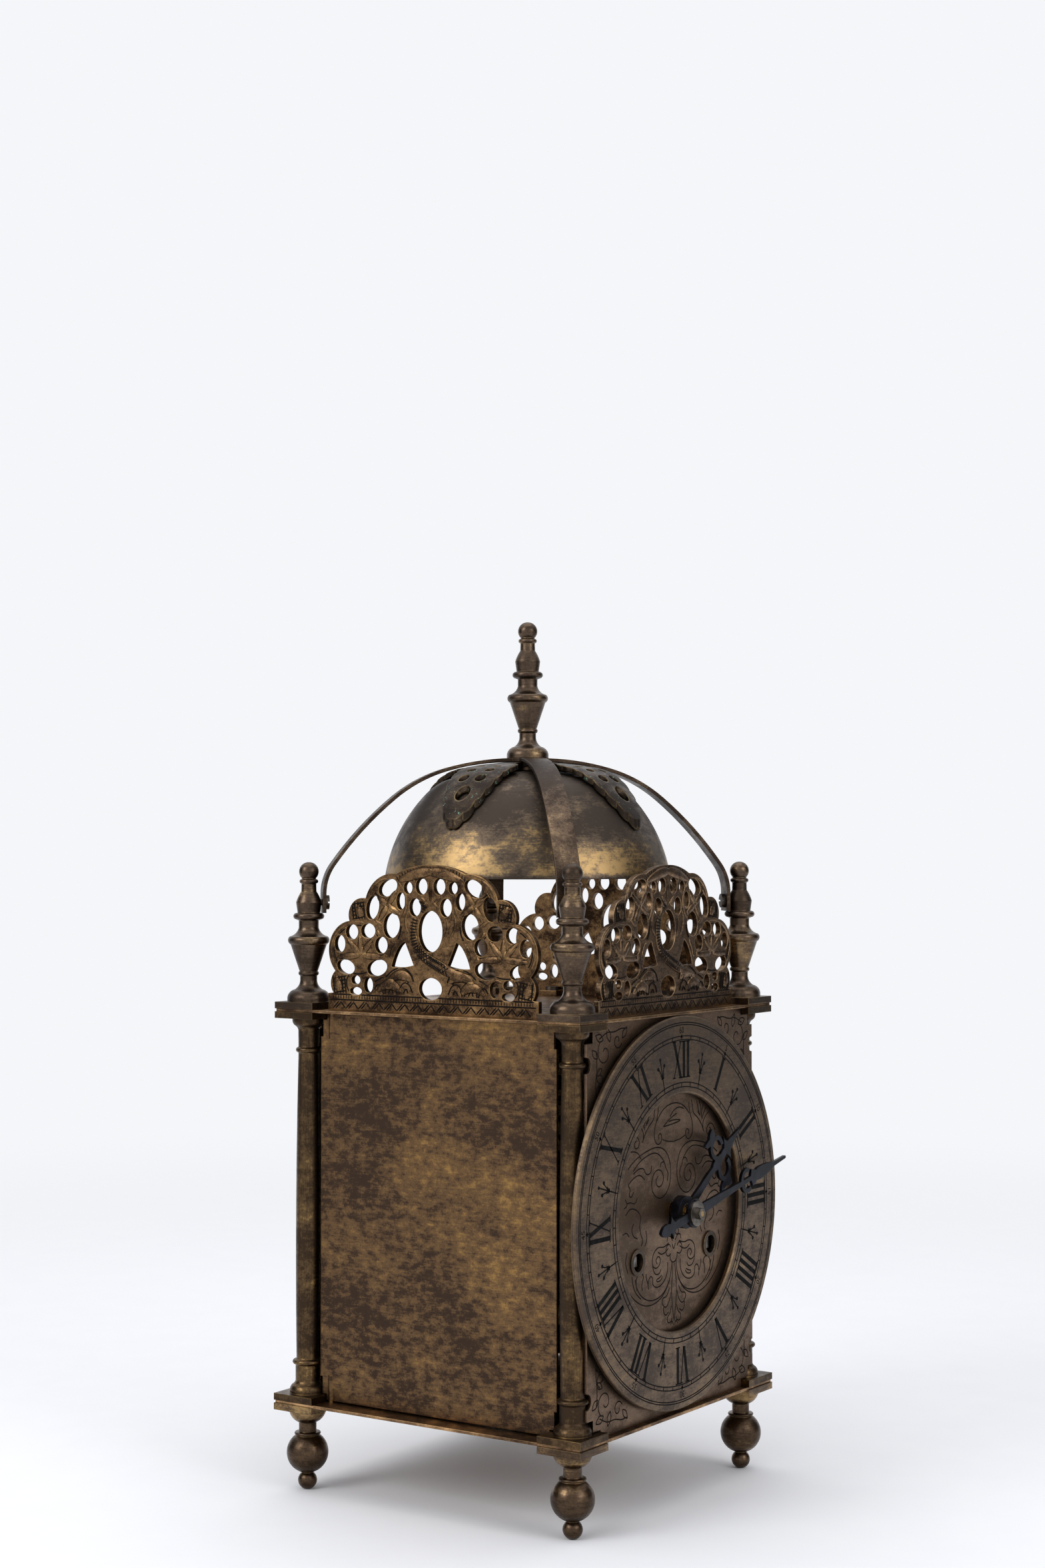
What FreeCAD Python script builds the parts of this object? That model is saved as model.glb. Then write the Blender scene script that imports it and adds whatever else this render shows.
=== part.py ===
import FreeCAD, Part
import math
import os
import re
import Sketcher

# Brass lantern clock with a spring-driven two-train movement.
# Millimetres. +Z is up and the dial looks towards -Y.
# The origin is on the floor, under the middle of the clock's whole depth and width.
# Work that turns about a front-to-back arbor is drawn in a local frame whose x is to the right,
# whose y is up and whose z comes forward, towards the dial.

Vector = FreeCAD.Vector

# Driving sizes, each an alias of one cell.
SIZES = {
    # case
    "pillar_span": 132.0,
    "block_side": 20.0,
    "block_thick": 2.8,
    "plate_overhang": 9.5,
    "plate_thick": 1.2,
    "foot_radius": 8.9,
    "foot_height": 33.3,
    "pillar_radius": 7.5,
    "pillar_length": 155.6,
    "finial_radius": 8.9,
    "finial_height": 58.2,
    "stud_radius": 2.0,
    "stud_grip": 12.0,
    "fit_gap": 0.05,
    "seat_gap": 0.3,
    # doors, back plate and dial plate
    "sheet_thick": 1.2,
    "back_plate_lap": 3.6,
    "door_recess": 0.5,
    "panel_edge_gap": 7.2,
    "door_lift": 0.7,
    "door_pin_radius": 1.2,
    "door_pin_inset": 12.5,
    "door_pin_length": 12.0,
    "door_pin_reach": 1.0,
    "ring_notch": 3.2,
    "corner_gap": 0.4,
    "dial_plate_half": 65.4,
    "dial_plate_front": 72.2,
    "dial_lift": 0.6,
    "bracket_leg": 8.0,
    "bracket_width": 10.0,
    "bracket_thick": 1.6,
    "bracket_offset": 40.0,
    # dial and hands
    "chapter_radius": 79.7,
    "chapter_bore": 48.0,
    "chapter_thick": 1.8,
    "chapter_gap": 2.0,
    "chapter_bevel": 0.5,
    "chapter_post_radius": 1.5,
    "chapter_post_circle": 64.0,
    "winding_spread": 28.5,
    "winding_drop": 17.0,
    "eyelet_radius": 5.35,
    "eyelet_bore": 3.7,
    "eyelet_wall": 0.8,
    "eyelet_rise": 0.7,
    "hour_hand_length": 52.5,
    "hour_hand_lead": 1.2,
    "hour_boss_lead": 2.3,
    "hour_hand_angle": 55.5,
    "hour_boss_radius": 6.6,
    "minute_hand_length": 78.5,
    "minute_hand_lead": 5.2,
    "minute_hand_angle": 79.0,
    "minute_boss_radius": 5.9,
    "hand_thick": 1.3,
    "collet_radius": 5.2,
    "collet_thick": 1.0,
    "nut_radius": 2.5,
    "nut_thick": 2.2,
    "centre_hole_radius": 4.1,
    # bell, strap and ornament
    "bell_rise": 54.3,
    "bell_radius": 60.8,
    "bell_height": 45.5,
    "bell_wall": 2.2,
    "bell_nut_radius": 5.5,
    "bell_nut_thick": 4.0,
    "bell_washer_radius": 9.0,
    "bell_washer_thick": 1.5,
    "ornament_thick": 2.0,
    "ornament_gap": 0.8,
    "ornament_radius": 55.0,
    "ornament_width": 23.0,
    "strap_thick": 1.5,
    "strap_width": 10.0,
    "screw_radius": 1.3,
    "screw_head_radius": 3.0,
    "screw_head_thick": 1.6,
    "screw_slot": 0.7,
    "screw_reach": 4.0,
    # frets
    "fret_width": 105.0,
    "fret_height": 60.0,
    "fret_thick": 2.4,
    "fret_front": 69.6,
    "lug_width": 9.0,
    "lug_reach": 7.0,
    "lug_thick": 2.4,
    "lug_offset": 30.0,
    # movement
    "movement_front": 58.0,
    "movement_gap": 36.0,
    "movement_plate": 2.0,
    "movement_half": 46.0,
    "movement_below": 52.0,
    "movement_above": 60.0,
    "movement_pillar_radius": 3.0,
    "movement_pillar_inset": 6.0,
    "rivet_radius": 2.2,
    "rivet_thick": 1.0,
    "tenon_radius": 1.5,
    "dial_foot_radius": 2.5,
    "dial_foot_spread": 32.0,
    "dial_foot_low": -44.0,
    "dial_foot_high": 50.0,
    "second_wheel_depth": 26.5,
    "centre_wheel_depth": 40.5,
    "third_wheel_depth": 46.5,
    "escape_depth": 37.0,
    "pin_wheel_depth": 22.5,
    "locking_wheel_depth": 50.8,
    "motion_depth": 60.5,
    "hour_wheel_depth": 64.0,
    "arbor_radius": 1.2,
    "pivot_radius": 0.8,
    "arbor_shake": 0.1,
    "wheel_thick": 1.5,
    "pinion_thick": 3.0,
    "great_module": 0.6,
    "train_module": 0.5,
    "centre_module": 0.28,
    "third_module": 0.25,
    "locking_module": 0.4,
    "motion_module": 0.5,
    "third_turn": 95.0,
    "locking_turn": 100.0,
    "fly_turn": 80.0,
    "barrel_radius": 18.5,
    "barrel_length": 20.0,
    "barrel_depth": 33.0,
    "winding_arbor_radius": 3.0,
    "winding_square": 4.2,
    "winding_recess": 0.3,
    "ratchet_radius": 9.0,
    "ratchet_depth": 1.0,
    "ratchet_thick": 1.4,
    "click_gap": 0.15,
    "click_width": 3.0,
    "click_stud_radius": 1.0,
    "click_angle": 62.0,
    "centre_arbor_radius": 1.5,
    "cannon_radius": 2.2,
    "hour_pipe_radius": 3.5,
    "escape_radius": 9.0,
    "pallet_gap": 0.75,
    "pallet_turn": 50.0,
    "anchor_rise": 14.5,
    "pendulum_length": 80.2,
    "bob_radius": 11.0,
    "bob_thick": 5.0,
    "rod_radius": 0.9,
    "cock_width": 12.0,
    "cock_back": 4.0,
    "pendulum_depth": 10.0,
    "pin_circle": 12.0,
    "pin_radius": 0.6,
    "pin_length": 1.6,
    "fly_width": 16.0,
    "fly_length": 10.0,
    "fly_thick": 0.8,
    "fly_depth": 39.5,
    "hammer_side": 26.4,
    "hammer_pivot_rise": 46.0,
    "hammer_depth": 40.0,
    "hammer_rod_radius": 1.25,
    "hammer_head_radius": 4.5,
    "hammer_bell_gap": 1.0,
    "hammer_rim_rise": 8.0,
    "hammer_tail_turn": 150.0,
    "slot_length": 14.0,
    "slot_width": 7.0,
    # one overrun for every cut
    "overrun": 1.0,
}

# Whole numbers: teeth, leaves and pins.
COUNTS = {
    "great_teeth": 72,
    "second_leaves": 12,
    "second_teeth": 60,
    "centre_leaves": 12,
    "centre_teeth": 96,
    "third_leaves": 8,
    "third_teeth": 88,
    "escape_leaves": 8,
    "escape_teeth": 48,
    "locking_leaves": 10,
    "locking_teeth": 60,
    "fly_leaves": 10,
    "cannon_leaves": 12,
    "minute_teeth": 36,
    "minute_leaves": 10,
    "hour_teeth": 40,
    "ratchet_teeth": 18,
    "lift_pins": 8,
    "wheel_arms": 4,
}

# Sizes that follow from the driving ones, as cell formulas.
DERIVED = {
    "case_half": "pillar_span / 2",
    "base_plate_z": "foot_height + block_thick",
    "base_top_z": "base_plate_z + plate_thick",
    "pillar_z": "base_top_z + block_thick",
    "pillar_top_z": "pillar_z + pillar_length",
    "top_plate_z": "pillar_top_z + block_thick",
    "top_face_z": "top_plate_z + plate_thick",
    "finial_z": "top_face_z + block_thick",
    "plate_side": "pillar_span + 2 * plate_overhang",
    "case_clear": "top_plate_z - base_top_z",
    "stud_bore": "stud_radius + fit_gap",
    "pin_bore": "door_pin_radius + fit_gap",
    "screw_bore": "screw_radius + fit_gap",
    "arbor_bore": "pivot_radius + fit_gap",
    "door_face": "case_half + door_recess",
    "door_pin_y": "case_half - door_pin_inset",
    "dial_rise": "case_clear / 2 + dial_lift",
    "dial_z": "base_top_z + dial_rise",
    "winding_z": "dial_z - winding_drop",
    "chapter_back": "dial_plate_front + chapter_gap",
    "chapter_front": "chapter_back + chapter_thick",
    "hour_hand_back": "chapter_front + hour_hand_lead",
    "hour_hand_front": "hour_hand_back + hand_thick",
    "minute_hand_back": "chapter_front + minute_hand_lead",
    "minute_hand_front": "minute_hand_back + hand_thick",
    "collet_front": "minute_hand_front + collet_thick",
    "nut_front": "collet_front + nut_thick",
    "case_y": "(nut_front - case_half - block_side / 2) / 2",
    "bell_rim_z": "top_face_z + bell_rise",
    "bell_top_z": "bell_rim_z + bell_height",
    "ornament_z": "bell_top_z + bell_washer_thick + seat_gap",
    "strap_z": "ornament_z + ornament_thick",
    "crown_z": "strap_z + strap_thick",
    "movement_inner_front": "movement_front - movement_plate",
    "movement_inner_back": "movement_inner_front - movement_gap",
    "movement_back": "movement_inner_back - movement_plate",
    "barrel_front": "barrel_depth + barrel_length",
    "tenon_bore": "tenon_radius + fit_gap",
    "hour_boss_back": "dial_plate_front + hour_boss_lead",
    "bell_stud_z": "bell_top_z - bell_wall - seat_gap - bell_nut_thick - overrun",
    "winding_end": "dial_plate_front - sheet_thick - winding_recess",
    "cock_front": "cock_back + movement_plate",
    "strap_reach": "case_half * sqrt(2) - 0.6 * finial_radius - fit_gap",
    "strap_foot_z": "finial_z + 0.635 * finial_height",
    "strap_screw_z": "finial_z + 0.71 * finial_height",
}

# Outlines of the turned work, from the bottom up: (radius share, height share, bulge share).
# The bulge bends the line that ends at the point: a quarter of its arc's angle, as a tangent.
FOOT_SHARES = [
    (0.14, 0.0, 0.0),
    (0.26, 0.205, 0.62),
    (0.28, 0.21, 0.0),
    (0.54, 0.673, 0.64),
    (0.58, 0.679, 0.0),
    (0.58, 0.709, 0.6),
    (0.41, 0.715, 0.0),
    (0.41, 0.829, 0.0),
    (0.46, 0.835, 0.0),
    (0.876, 0.982, 0.25),
    (0.876, 1.0, 0.0),
]
PILLAR_SHARES = [
    (1.0, 0.0, 0.0),
    (1.0, 0.006, 0.0),
    (0.88, 0.02, 0.2),
    (0.68, 0.031, -0.2),
    (0.68, 0.073, 0.0),
    (0.72, 0.075, 0.0),
    (0.72, 0.088, 0.9),
    (0.63, 0.091, 0.0),
    (0.56, 0.904, 0.009),
    (0.58, 0.907, 0.0),
    (0.58, 0.921, 0.85),
    (0.56, 0.924, 0.0),
    (0.57, 0.966, 0.0),
    (0.75, 0.979, -0.25),
    (0.9, 0.993, 0.25),
    (0.9, 1.0, 0.0),
]
FINIAL_SHARES = [
    (1.0, 0.0, 0.0),
    (1.0, 0.028, 0.0),
    (0.66, 0.085, 0.32),
    (0.4, 0.15, -0.25),
    (0.4, 0.182, 0.0),
    (0.42, 0.186, 0.0),
    (0.42, 0.217, 0.6),
    (0.44, 0.221, 0.0),
    (0.85, 0.409, 0.0),
    (0.89, 0.466, 0.55),
    (0.47, 0.53, -0.3),
    (0.47, 0.58, 0.0),
    (0.6, 0.588, 0.0),
    (0.6, 0.634, 0.85),
    (0.53, 0.637, 0.0),
    (0.6, 0.71, 0.0),
    (0.36, 0.789, 0.08),
    (0.35, 0.84, 0.0),
    (0.36, 0.846, 0.0),
    (0.36, 0.877, 0.8),
    (0.33, 0.884, 0.0),
    (0.03, 1.0, 0.66),
]
# The bell's outside, from the crown to the rim: (radius share, height share, bulge share),
# then the share of the wall that the inside stands off along x and z.
BELL_SHARES = [
    ((0.493, 0.938, -0.047), (0.187, 0.982)),
    ((0.707, 0.791, -0.159), (0.731, 0.682)),
    ((1.0, 0.0, -0.158), (1.0, 0.0)),
]
# Tooth shapes in modules and in shares of the pitch angle.
WHEEL_TOOTH_SHARES = {"tip": 0.8, "root": 1.1, "flank": 0.2, "crest": 0.06, "foot": 0.22}
LEAF_TOOTH_SHARES = {"tip": 0.5, "root": 1.3, "flank": 0.15, "crest": 0.06, "foot": 0.1}
# The four corners of the square of pillars, anticlockwise from above.
CORNERS = {
    "front_left": (-1, -1),
    "front_right": (1, -1),
    "back_right": (1, 1),
    "back_left": (-1, 1),
}

doc = FreeCAD.newDocument("LanternClock")
sheet = doc.addObject("Spreadsheet::Sheet", "Sizes")
nodes = {}

WORDS = re.compile(r"\b(" + "|".join([*SIZES, *COUNTS, *DERIVED]) + r")\b")
FORWARD = FreeCAD.Rotation(Vector(1, 0, 0), 90)
UP = Vector(0, 0, 1)


def fill_sheet():
    """Write one row per size: its value or its formula, under its alias."""
    rows = [(name, str(value)) for name, value in (SIZES | COUNTS).items()]
    rows += [(name, "=" + formula) for name, formula in DERIVED.items()]
    for row, (name, text) in enumerate(rows, 1):
        sheet.set(f"A{row}", name)
        sheet.set(f"B{row}", text)
        sheet.setAlias(f"B{row}", name)
    doc.recompute()


def bound(text):
    """A formula with each alias looked up in the sheet."""
    return WORDS.sub(r"Sizes.\1", text)


def size(text):
    """The value of a formula of named sizes."""
    return float(sheet.evalExpression(bound(text)))


def bind(item, formulas):
    """Tie properties of an object to formulas of named sizes."""
    for key, formula in formulas.items():
        if formula != "0":
            item.setExpression(key, bound(formula))
    return item


def base(place, key="Placement"):
    """The three coordinates of a placement as properties to bind."""
    return {f"{key}.Base.{axis}": formula for axis, formula in zip("xyz", place)}


def box(name, corner, sides):
    """Block from its lowest corner and its three sides."""
    item = doc.addObject("Part::Box", name)
    return bind(item, dict(zip(("Length", "Width", "Height"), sides)) | base(corner))


def rod(name, radius, length, place, rotation=None):
    """Cylinder along z, or turned, from the middle of its first end."""
    item = doc.addObject("Part::Cylinder", name)
    if rotation:
        item.Placement = FreeCAD.Placement(Vector(), rotation)
    return bind(item, {"Radius": radius, "Height": length} | base(place))


def fuse(name, items):
    item = doc.addObject("Part::MultiFuse", name)
    item.Shapes = items
    return item


def group(name, items):
    item = doc.addObject("Part::Compound", name)
    item.Links = items
    return item


def cut(name, solid, tools):
    item = doc.addObject("Part::Cut", name)
    item.Base = solid
    item.Tool = tools[0] if len(tools) == 1 else group(name + "_cuts", tools)
    return item


def shaped(name, shape):
    """Object that carries a shape worked out from the sheet."""
    item = doc.addObject("Part::Feature", name)
    item.Shape = shape
    return item


def keep(name, item, place=("0", "0", "0"), rotation=None):
    """Name a finished sub-part and set it down in the clock."""
    item.Placement = FreeCAD.Placement(Vector(), rotation or FreeCAD.Rotation())
    bind(item, base((place[0], f"case_y + {place[1]}", place[2])))
    item.Label = name
    nodes[name] = item
    return item


def plane(body, role):
    """One origin plane of a body."""
    return next(part for part in body.Origin.OriginFeatures if part.Role == role)


def primitive(body, kind, formulas, place, rotation=None):
    """Add a solid to a body, or take one away, on the body's ground plane."""
    item = body.newObject(f"PartDesign::{kind}", f"{body.Name}_{kind}")
    item.AttachmentSupport = [(plane(body, "XY_Plane"), "")]
    item.MapMode = "FlatFace"
    if rotation:
        item.AttachmentOffset = FreeCAD.Placement(Vector(), rotation)
    return bind(item, formulas | base(place, "AttachmentOffset"))


def bulge_middle(start, end, bulge):
    """Middle of the arc from start to end whose quarter angle has this tangent."""
    chord = end - start
    return (start + end) * 0.5 + Vector(chord.y, -chord.x, 0) * (bulge / 2)


def bulge_edges(points):
    """Closed ring of lines and arcs through (x, y, bulge) points."""
    places = [Vector(x, y, 0) for x, y, bulge in points]
    edges = []
    for index, point in enumerate(points):
        start, end = places[index - 1], places[index]
        if point[2]:
            middle = bulge_middle(start, end, point[2])
            edges.append(Part.Arc(start, middle, end).toShape())
        else:
            edges.append(Part.LineSegment(start, end).toShape())
    return edges


def ring_face(points):
    """Flat face inside a ring of (x, y, bulge) points."""
    return Part.Face(Part.Wire(bulge_edges(points)))


def disc(radius, x=0, y=0):
    """Flat round face."""
    return Part.Face(Part.Wire(Part.Circle(Vector(x, y, 0), UP, radius).toShape()))


def slab(face, start, thick):
    """Flat face raised to a plate from one depth."""
    plate = face.copy()
    plate.translate(UP * start)
    return plate.extrude(UP * thick)


def tube(radius, start, end, bore=0):
    """Round bar, or tube, between two depths."""
    bar = Part.makeCylinder(radius, end - start, UP * start)
    if not bore:
        return bar
    run = size("overrun")
    return bar.cut(Part.makeCylinder(bore, end - start + 2 * run, UP * (start - run)))


def one(shapes):
    """Several touching solids as one."""
    return shapes[0].multiFuse(shapes[1:]).removeSplitter()


def turned(name, outline):
    """Body turned about z from (radius, height, bulge) formulas."""
    body = doc.addObject("PartDesign::Body", name)
    sketch = body.newObject("Sketcher::SketchObject", name + "_profile")
    sketch.AttachmentSupport = [(plane(body, "XZ_Plane"), "")]
    sketch.MapMode = "FlatFace"
    places = [Vector(size(radius), size(height), 0) for radius, height, bulge in outline]
    curves, ends, limits = [], [], []
    for index, (radius, height, bulge) in enumerate(outline):
        start, end = places[index - 1], places[index]
        if not bulge:
            curves.append(Part.LineSegment(start, end))
            ends.append((1, 2))
            continue
        middle = bulge_middle(start, end, bulge)
        first, last = (start, end) if bulge > 0 else (end, start)
        curves.append(Part.Arc(first, middle, last))
        ends.append((1, 2) if bulge > 0 else (2, 1))
        before = outline[index - 1]
        share = (1 + bulge * bulge) / (4 * abs(bulge))
        chord = f"hypot({radius} - ({before[0]}); {height} - ({before[1]}))"
        limits.append((Sketcher.Constraint("Radius", index, share * start.distanceToPoint(end)),
                       f"{share} * {chord}"))
    for index, (radius, height, bulge) in enumerate(outline):
        after = (index + 1) % len(outline)
        tip = ends[index][1]
        limits.append((Sketcher.Constraint("Coincident", index, tip, after, ends[after][0]), None))
        for axis, formula, line in (("X", radius, -2), ("Y", height, -1)):
            if formula == "0":
                limits.append((Sketcher.Constraint("PointOnObject", index, tip, line), None))
                continue
            kind = "Distance" + axis
            value = places[index].x if axis == "X" else places[index].y
            limits.append((Sketcher.Constraint(kind, -1, 1, index, tip, value), formula))
    sketch.addGeometry(curves)
    sketch.addConstraint([limit for limit, formula in limits])
    for index, (limit, formula) in enumerate(limits):
        if formula:
            sketch.setExpression(f"Constraints[{index}]", bound(formula))
    turning = body.newObject("PartDesign::Revolution", name + "_turning")
    turning.Profile = sketch
    turning.ReferenceAxis = (sketch, ["V_Axis"])
    turning.Angle = 360
    return body


def scaled(shares, radius, height):
    """Outline formulas from a table of shares, closed along the axis."""
    rings = [(f"{x} * {radius}" if x else "0", f"{z} * {height}" if z else "0", bulge)
             for x, z, bulge in shares]
    if shares[-1][0]:
        rings.append(("0", rings[-1][1], 0))
    return [("0", "0", 0), *rings]


def twin(name, source):
    """Second body of the same shape."""
    body = doc.addObject("PartDesign::Body", name)
    clone = doc.addObject("PartDesign::FeatureBase", name + "_clone")
    clone.BaseFeature = source
    body.Group = [clone]
    body.Tip = clone
    return body


def block(body, height):
    """Square block on a turned end."""
    side = {"Length": "block_side", "Width": "block_side", "Height": "block_thick"}
    primitive(body, "AdditiveBox", side, ("-block_side / 2", "-block_side / 2", height))


def stud_bore(body, height):
    """Blind bore for half a stud, from its lower end."""
    formulas = {"Radius": "stud_bore", "Height": "stud_grip + seat_gap"}
    primitive(body, "SubtractiveCylinder", formulas, ("0", "0", height))


def at_corners(kind, source, height):
    """Set one turned piece at each corner of the square of pillars."""
    for turn, (corner, (x, y)) in enumerate(CORNERS.items()):
        name = f"{kind}_{corner}"
        body = twin(name, source) if turn else source
        place = (f"{x} * case_half", f"{y} * case_half", height)
        keep(name, body, place, FreeCAD.Rotation(UP, 90 * turn))


def make_feet():
    foot = turned("foot_front_left", scaled(FOOT_SHARES, "foot_radius", "foot_height"))
    block(foot, "foot_height")
    stud_bore(foot, "base_plate_z - stud_grip - seat_gap")
    at_corners("foot", foot, "0")


def make_pillars():
    pillar = turned("pillar_front_left", scaled(PILLAR_SHARES, "pillar_radius", "pillar_length"))
    block(pillar, "-block_thick")
    block(pillar, "pillar_length")
    stud_bore(pillar, "-block_thick")
    stud_bore(pillar, "pillar_length + block_thick - stud_grip - seat_gap")
    at_corners("pillar", pillar, "pillar_z")


def finial(name):
    return turned(name, scaled(FINIAL_SHARES, "finial_radius", "finial_height"))


def make_finials():
    corner = finial("finial_front_left")
    block(corner, "-block_thick")
    stud_bore(corner, "-block_thick")
    towards_middle = FreeCAD.Rotation(Vector(-1, 1, 0), 90)
    side_bore = {"Radius": "screw_bore", "Height": "finial_radius"}
    primitive(corner, "SubtractiveCylinder", side_bore, ("0", "0", "strap_screw_z - finial_z"),
              towards_middle)
    at_corners("finial", corner, "finial_z")
    top = finial("top_finial")
    stud_bore(top, "0")
    keep("top_finial", top, ("0", "0", "crown_z"))


def make_studs():
    """One stud through each corner of the base plate and of the top plate."""
    studs = []
    for corner, (x, y) in CORNERS.items():
        for level in ("base_plate_z", "top_plate_z"):
            place = (f"{x} * case_half", f"{y} * case_half", f"{level} - stud_grip")
            length = "2 * stud_grip + plate_thick"
            studs.append(rod(f"stud_{corner}_{level}", "stud_radius", length, place))
    keep("corner_studs", group("corner_studs", studs))


def plate_holes(name, level):
    """Cutters for the corner studs and the door pins of one plate."""
    cutters = []
    deep = ("plate_thick + 2 * overrun", f"{level} - overrun")
    for corner, (x, y) in CORNERS.items():
        place = (f"{x} * case_half", f"{y} * case_half", deep[1])
        cutters.append(rod(f"{name}_stud_hole_{corner}", "stud_bore", deep[0], place))
    for side in (-1, 1):
        place = (f"{side} * (door_face - sheet_thick / 2)", "door_pin_y", deep[1])
        cutters.append(rod(f"{name}_pin_hole", "pin_bore", deep[0], place))
    return cutters


def blank_plate(name, level):
    corner = ("-plate_side / 2", "-plate_side / 2", level)
    return box(name + "_blank", corner, ("plate_side", "plate_side", "plate_thick"))


def make_plates():
    base_plate = cut("base_plate", blank_plate("base", "base_plate_z"),
                     plate_holes("base", "base_plate_z"))
    keep("base_plate", base_plate)
    cutters = plate_holes("top", "top_plate_z")
    below = "top_plate_z - overrun"
    through = "plate_thick + 2 * overrun"
    cutters.append(box("hammer_slot", ("-hammer_side - slot_width / 2",
                                       "-hammer_depth - slot_width / 2", below),
                       ("slot_length", "slot_width", through)))
    for index, place in enumerate(fret_screw_places()):
        cutters.append(rod(f"fret_screw_hole_{index}", "screw_bore", through, (*place, below)))
    keep("top_plate", cut("top_plate", blank_plate("top", "top_plate_z"), cutters))


def fret_screw_places():
    """Middle of each fret lug, two behind each of the three frets."""
    depth = "(fret_front - fret_thick - lug_reach / 2)"
    places = []
    for side in (-1, 1):
        places.append((f"{side} * lug_offset", f"-{depth}"))
        places.append((f"-{depth}", f"{side} * lug_offset"))
        places.append((depth, f"{side} * lug_offset"))
    return places


def make_doors():
    """Side doors, each on two pins let into the plates near the back."""
    for name, side in (("side_door_left", -1), ("side_door_right", 1)):
        edge = "(case_half - panel_edge_gap + fit_gap)"
        lift = "(base_top_z + door_lift)"
        inner = "door_face - sheet_thick" if side > 0 else "-door_face"
        sheet_box = box(name + "_sheet", (inner, f"-{edge}", lift),
                        ("sheet_thick", f"2 * {edge}", "case_clear - 2 * door_lift"))
        notches = []
        for y in (-1, 1):
            for z in (-1, 1):
                notches += door_notches(name, side, y, z)
        leaf = cut(name + "_leaf", sheet_box, notches)
        pins = []
        for level in ("base_top_z - door_pin_reach",
                      "top_plate_z + door_pin_reach - door_pin_length"):
            place = (f"{side} * (door_face - sheet_thick / 2)", "door_pin_y", level)
            pins.append(rod(name + "_pin", "door_pin_radius", "door_pin_length", place))
        keep(name, fuse(name, [leaf, *pins]))


def door_notches(name, side, y, z):
    """Two steps at one door corner, clear of the block and of the pillar's foot."""
    steps = (("block_side / 2 + corner_gap", "block_thick + corner_gap - door_lift"),
             ("pillar_radius + corner_gap * 2", "block_thick + pillar_radius - door_lift"))
    middle = "(base_top_z + case_clear / 2)"
    cutters = []
    for reach, rise in steps:
        start = f"(case_half - ({reach}))"
        low = start if y > 0 else f"-{start} - block_side"
        half = "(case_clear / 2 - door_lift)"
        bottom = (f"{middle} + {half} - ({rise})" if z > 0
                  else f"{middle} - {half} - overrun")
        cutters.append(box(name + "_notch", (f"{side} * door_face - sheet_thick - overrun",
                                             low, bottom),
                           ("2 * (sheet_thick + overrun)", "block_side",
                            f"{rise} + overrun")))
    return cutters


def corner_cutters(name, face, gap):
    """Cutters that keep a front or back plate clear of blocks, pillar feet and rings."""
    cutters = []
    for corner, (x, y) in CORNERS.items():
        if (y < 0) != (face < 0):
            continue
        axis = (f"{x} * case_half", f"{y} * case_half")
        low = tuple(f"{part} - block_side / 2 - {gap}" for part in axis)
        side = f"block_side + 2 * {gap}"
        thick = f"block_thick + {gap}"
        flare = "pillar_radius * 2 / 3"
        for level, rise in (("base_top_z - overrun", f"{thick} + overrun"),
                            (f"top_plate_z - ({thick})", f"{thick} + overrun")):
            cutters.append(box(name + "_block_cut", (*low, level), (side, side, rise)))
        for level in ("pillar_z", f"pillar_top_z - {flare}"):
            cutters.append(rod(name + "_flare_cut", f"pillar_radius + {gap}", flare,
                               (*axis, level)))
    return cutters


def ring_notches(name):
    """Round notches in the dial plate's edges beside the pillars' rings."""
    cutters = []
    for x in (-1, 1):
        for share in (0.0815, 0.914):
            place = (f"{x} * dial_plate_half", "-dial_plate_front + sheet_thick + overrun",
                     f"pillar_z + {share} * pillar_length")
            cutters.append(rod(name + "_ring_notch", "ring_notch",
                               "sheet_thick + 2 * overrun", place, FORWARD))
    return cutters


def make_panels():
    """Dial plate in front of the pillars and the fixed plate behind them."""
    front = box("dial_sheet", ("-dial_plate_half", "-dial_plate_front", "base_top_z"),
                ("2 * dial_plate_half", "sheet_thick", "case_clear"))
    cutters = corner_cutters("dial", -1, "corner_gap") + ring_notches("dial")
    behind = "-dial_plate_front + sheet_thick + overrun"
    through = "sheet_thick + 2 * overrun"
    cutters.append(rod("dial_centre_hole", "centre_hole_radius", through,
                       ("0", behind, "dial_z"), FORWARD))
    for x in (-1, 1):
        cutters.append(rod("dial_winding_hole", "eyelet_radius - eyelet_wall", through,
                           (f"{x} * winding_spread", behind, "winding_z"), FORWARD))
        for level in ("dial_foot_low", "dial_foot_high"):
            cutters.append(rod("dial_foot_hole", "tenon_bore", through,
                               (f"{x} * dial_foot_spread", behind, f"dial_z + {level}"), FORWARD))
    keep("dial_plate", cut("dial_plate", front, cutters))
    half = "(case_half - block_side / 2 + back_plate_lap)"
    back = box("back_sheet", (f"-{half}", "door_face - sheet_thick", "base_top_z"),
               (f"2 * {half}", "sheet_thick", "case_clear"))
    keep("back_plate", cut("back_plate", back, corner_cutters("back", 1, "corner_gap")))


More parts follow.
